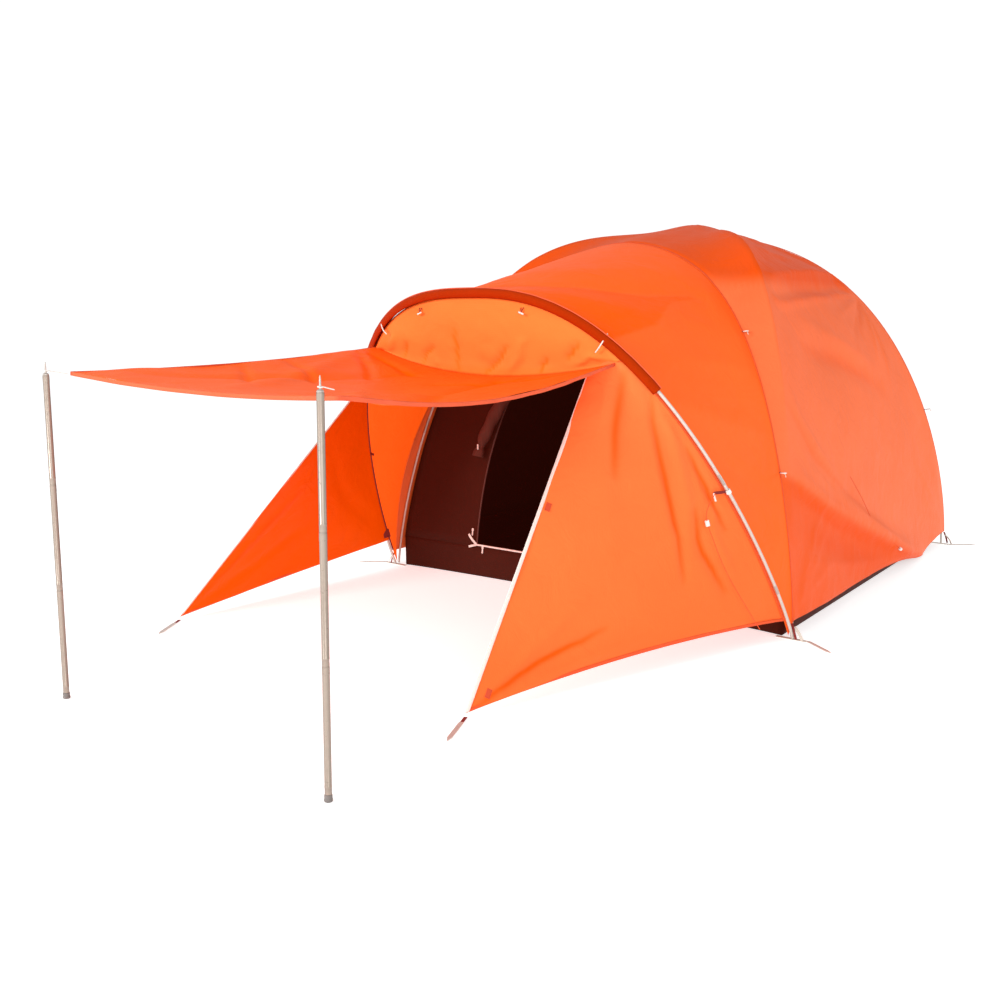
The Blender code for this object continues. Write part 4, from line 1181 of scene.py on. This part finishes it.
def build_webbing():
    """Foot straps with their tails, the wings' peg loops and the reinforced patches."""
    for side, word in SIDES:
        for end, foot, name in ((-1, FRONT_FOOT[0], f"{word}_front"), (1, REAR_FOOT[0], f"{word}_rear")):
            y = end * 1.205
            tab(f"{name}_foot_strap", (side * 1.014, y, GROUND_LIFT), (side * 1.142, y, GROUND_LIFT),
                0.022, (0, 0, 1), GREY_TAPE, 0.0020, nodes=(f"{name}_strap",))
            tab(f"{name}_foot_tail", (side * (foot + 0.004), y + 0.004 * end, 0.055),
                (side * (foot + 0.042), y + 0.010 * end, 0.004), 0.014, (side, end, 0.6), GREY_TAPE,
                bulge=0.006)
            tab(f"{name}_foot_pull", (side * (foot - 0.004), y + 0.012 * end, 0.070),
                (side * (foot + 0.018), y + 0.016 * end, 0.006), 0.010, (side * 0.3, end, 0.2),
                DARK_TAPE, bulge=0.004)
    for name, corner, heading in (("right", RIGHT_CORNER, (0.37, -0.93, 0)),
                                  ("left", LEFT_CORNER, (0.5, -0.87, 0))):
        way = unit(heading)
        start = at(*corner, GROUND_LIFT) + way * 0.004
        tab(f"{name}_wing_peg_loop", start, start + way * 0.045, 0.012, (0, 0, 1), DARK_TAPE, 0.0020,
            nodes=(f"{name}_wing_loop",))
    for name, v in (("upper", 0.435), ("lower", 0.967)):
        place = wing_point(1, 0.955, v)
        side = unit(wing_point(1, 0.935, v) - place)
        down = unit(wing_point(1, 0.955, v + 0.01) - place)
        normal = unit(np.cross(side, down))
        normal = -normal if normal[1] > 0 else normal
        tab(f"right_wing_patch_{name}", place - down * 0.016 + normal * 0.003,
            place + down * 0.016 + normal * 0.003, 0.020, normal, PATCH)
    place = wing_point(-1, 0.012, 0.955) + at(0.006, 0, 0)
    down = unit((0.25, 0.1, -1.0))
    tab("left_wing_foot_patch", place - down * 0.022, place + down * 0.022, 0.036, (1, -0.4, 0),
        DARK_TAPE, 0.0050)


def guy_loop(name, place, out):
    """A guy point: folded red webbing holding a pale ladder buckle with a short tail."""
    side = unit(np.cross(out, (0, 0, 1)))
    tab(f"{name}_tape", place - out * 0.004, place + out * 0.018, 0.012, (0, 0, 1), DARK_TAPE,
        bulge=0.002)
    centre = place + out * 0.026

    def frame_point(t):
        x, y = math.cos(2 * math.pi * t), math.sin(2 * math.pi * t)
        return (centre + out * math.copysign(abs(x) ** 0.5, x) * 0.0110
                + side * math.copysign(abs(y) ** 0.5, y) * 0.0085)

    strand(f"{name}_buckle", steps(frame_point, 32), 0.0021, WHITE, "tent", 2)
    bar = [centre + side * (0.0085 * t) for t in (-1, 0, 1)]
    strand(f"{name}_buckle_bar", bar, 0.0018, WHITE, "tent", 2)
    tail = smooth_line([centre, centre + out * 0.012 - at(0, 0, 0.004),
                        centre + out * 0.020 - at(0, 0, 0.016)], 5)
    strand(f"{name}_tail", tail, 0.0016, GREY_TAPE, "tent", 2)


def barrel(side, name):
    """A small turned toggle lying across its cord, and the loop that it hangs from."""
    low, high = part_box(f"{name}_brow_toggle")
    x, y, z = (low.x + high.x) / 2, (low.y + high.y) / 2, high.z
    centre = at(x, y - 0.002, z - 0.007)
    half = 0.0135
    way = unit((1.0, -0.25, side * -0.30))
    points = [centre + way * half * t for t in np.linspace(-1, 1, 25)]
    item = strand(f"{name}_barrel_toggle", points, 0.0036, WHITE, f"{name}_toggle", 4,
                  (f"{name}_brow_toggle",))
    spots = read(item.data.vertices, "co")
    along = (spots - centre) @ way / half
    core = centre + along[:, None] * half * way
    waist = 1 - 0.38 * np.exp(-(along / 0.22) ** 2) - 0.25 * np.clip(np.abs(along) - 0.8, 0, 1) * 5
    write_points(item.data, core + (spots - core) * waist[:, None])
    loop = [(x - 0.006, y + 0.016, z + 0.022), (x - 0.005, y + 0.004, z + 0.010), (x, y, z - 0.002),
            (x + 0.005, y + 0.004, z + 0.010), (x + 0.006, y + 0.016, z + 0.022)]
    strand(f"{name}_toggle_loop", smooth_line(loop, 6), 0.0017, DARK_TAPE)


def build_hoop_ties():
    """The red tabs and the toggle at the hoop's clips, and the ties of the brow's corners."""
    clip = arch(HOOP, station(HOOP, CLIP_HEIGHT))
    end = clip + at(-0.036, -0.050, -0.004)
    tab("hoop_tie_tab", clip + at(-0.004, -0.008, 0.0), end, 0.011, (0.3, -1, 0), DARK_TAPE)
    strand("hoop_tie_toggle", [end, end + at(0.004, 0, -0.015), end + at(0.010, 0, -0.030)],
           0.0036, WHITE, "tent", 4)
    clip = arch(HOOP, -station(HOOP, CLIP_HEIGHT))
    tab("left_hoop_tie_tab", clip + at(0.008, 0.0, 0.0), clip + at(0.050, -0.010, -0.004), 0.011,
        (0.3, -1, 0), DARK_TAPE)
    back = unit(HOOP_AXIS)
    for side, height, name in ((-1, 1.255, "left"), (1, 1.20, "right")):
        place = arch(HOOP, side * station(HOOP, height))
        start = place + at(0, 0, 0.019) - back * 0.004
        line = [start + back * 0.012, start - back * 0.012 + at(0, 0, -0.006),
                place - back * 0.024 + at(-side * 0.016, 0, -0.012),
                place - back * 0.020 + at(-side * 0.034, 0, -0.034)]
        strand(f"{name}_sleeve_tie", smooth_line(line, 6), 0.0026, CORD)


def build_guy_loops():
    for side, name in SIDES:
        for i, height in enumerate((1.235, 0.672)):
            guy_loop(f"{name}_seam_loop_{i + 1}", arch(SEAM, side * station(SEAM, height)),
                     unit((side, -0.75, 0.15)))
        guy_loop(f"{name}_rear_loop", arm(side, 1, arm_station(1, 0.80)), unit((side, 1.0, 0.2)))
        barrel(side, name)


def finish_plain_nodes():
    """Give the frame's own pieces that stay in view their finishes."""
    finishes = (("stake", PEG), ("door_", PINK_TAPE), ("tensioner", WHITE), ("toggle", WHITE),
                ("clip", WHITE), ("slider", WHITE), ("hub", RUBBER), ("", ALLOY))
    for name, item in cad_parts.items():
        finish = next(material for word, material in finishes if word in name)
        for slot in item.material_slots:
            slot.material = finish
        if not item.material_slots:
            item.data.materials.append(finish)


# ---- surroundings

def build_camera():
    """A level-eyed camera in front and to the right, turned a little about its own axis."""
    data = bpy.data.cameras.new("camera")
    data.sensor_width = 36.0
    data.lens = 36.0 * 1.01131
    data.clip_end = 200.0
    camera = bpy.data.objects.new("camera", data)
    SCENE.collection.objects.link(camera)
    pitch, azimuth, turn = 0.1669, 0.6312, 0.0094
    back = Vector((math.sin(azimuth) * math.cos(pitch), -math.cos(azimuth) * math.cos(pitch),
                   math.sin(pitch)))
    right = (-back).cross(Vector((0, 0, 1))).normalized()
    up = right.cross(-back)
    level = right * math.cos(turn) + up * math.sin(turn)
    top = -right * math.sin(turn) + up * math.cos(turn)
    camera.matrix_world = Matrix((
        (level.x, top.x, back.x, 2.4620),
        (level.y, top.y, back.y, -5.1236),
        (level.z, top.z, back.z, 1.2350),
        (0, 0, 0, 1)))
    SCENE.camera = camera


def soft_light(name, place, target, size, power):
    data = bpy.data.lights.new(name, "AREA")
    data.shape = "RECTANGLE"
    data.size, data.size_y = size
    data.energy = power
    light = bpy.data.objects.new(name, data)
    light.location = place
    aim = Vector(target) - Vector(place)
    light.rotation_euler = aim.to_track_quat("-Z", "Y").to_euler()
    SCENE.collection.objects.link(light)


def build_studio():
    bpy.ops.object.select_all(action="DESELECT")
    bpy.ops.mesh.primitive_plane_add(size=60, location=(0, 0, -0.0015))
    floor = bpy.context.object
    floor.name = "floor"
    material, tree, shader = new_material("pale_floor")
    feed(tree, shader, {"Base Color": (0.80, 0.80, 0.80, 1), "Roughness": 0.9,
                        "Emission Color": (1, 1, 1, 1), "Emission Strength": 0.60})
    floor.data.materials.append(material)
    soft_light("key", (-1.6, -9.5, 3.2), (0.2, -1.0, 0.8), (2.6, 2.4), 520)
    soft_light("fill", (6.5, -7.0, 2.4), (0.4, -0.8, 0.7), (4.0, 3.0), 190)
    soft_light("rim", (6.5, 4.5, 3.0), (0.8, 0.2, 0.9), (2.0, 2.0), 120)
    world = bpy.data.worlds.new("studio")
    SCENE.world = world
    world.use_nodes = True
    tree = world.node_tree
    seen = put(tree, "LightPath").outputs["Is Camera Ray"]
    feed(tree, tree.nodes["Background"], {"Color": (1, 1, 1, 1),
                                          "Strength": ramp(tree, seen, 0.0, 1.0, 0.62, 1.05)})
    SCENE.view_settings.view_transform = "Standard"


build_camera()
build_cords()
build_body()
build_porch()
build_seams()
build_brow()
build_awning()
build_awning_hem()
build_sleeve()
build_wings()
build_poles()
build_props()
build_inner()
build_tray()
build_door_trim()
build_webbing()
build_hoop_ties()
build_guy_loops()
finish_plain_nodes()
build_studio()
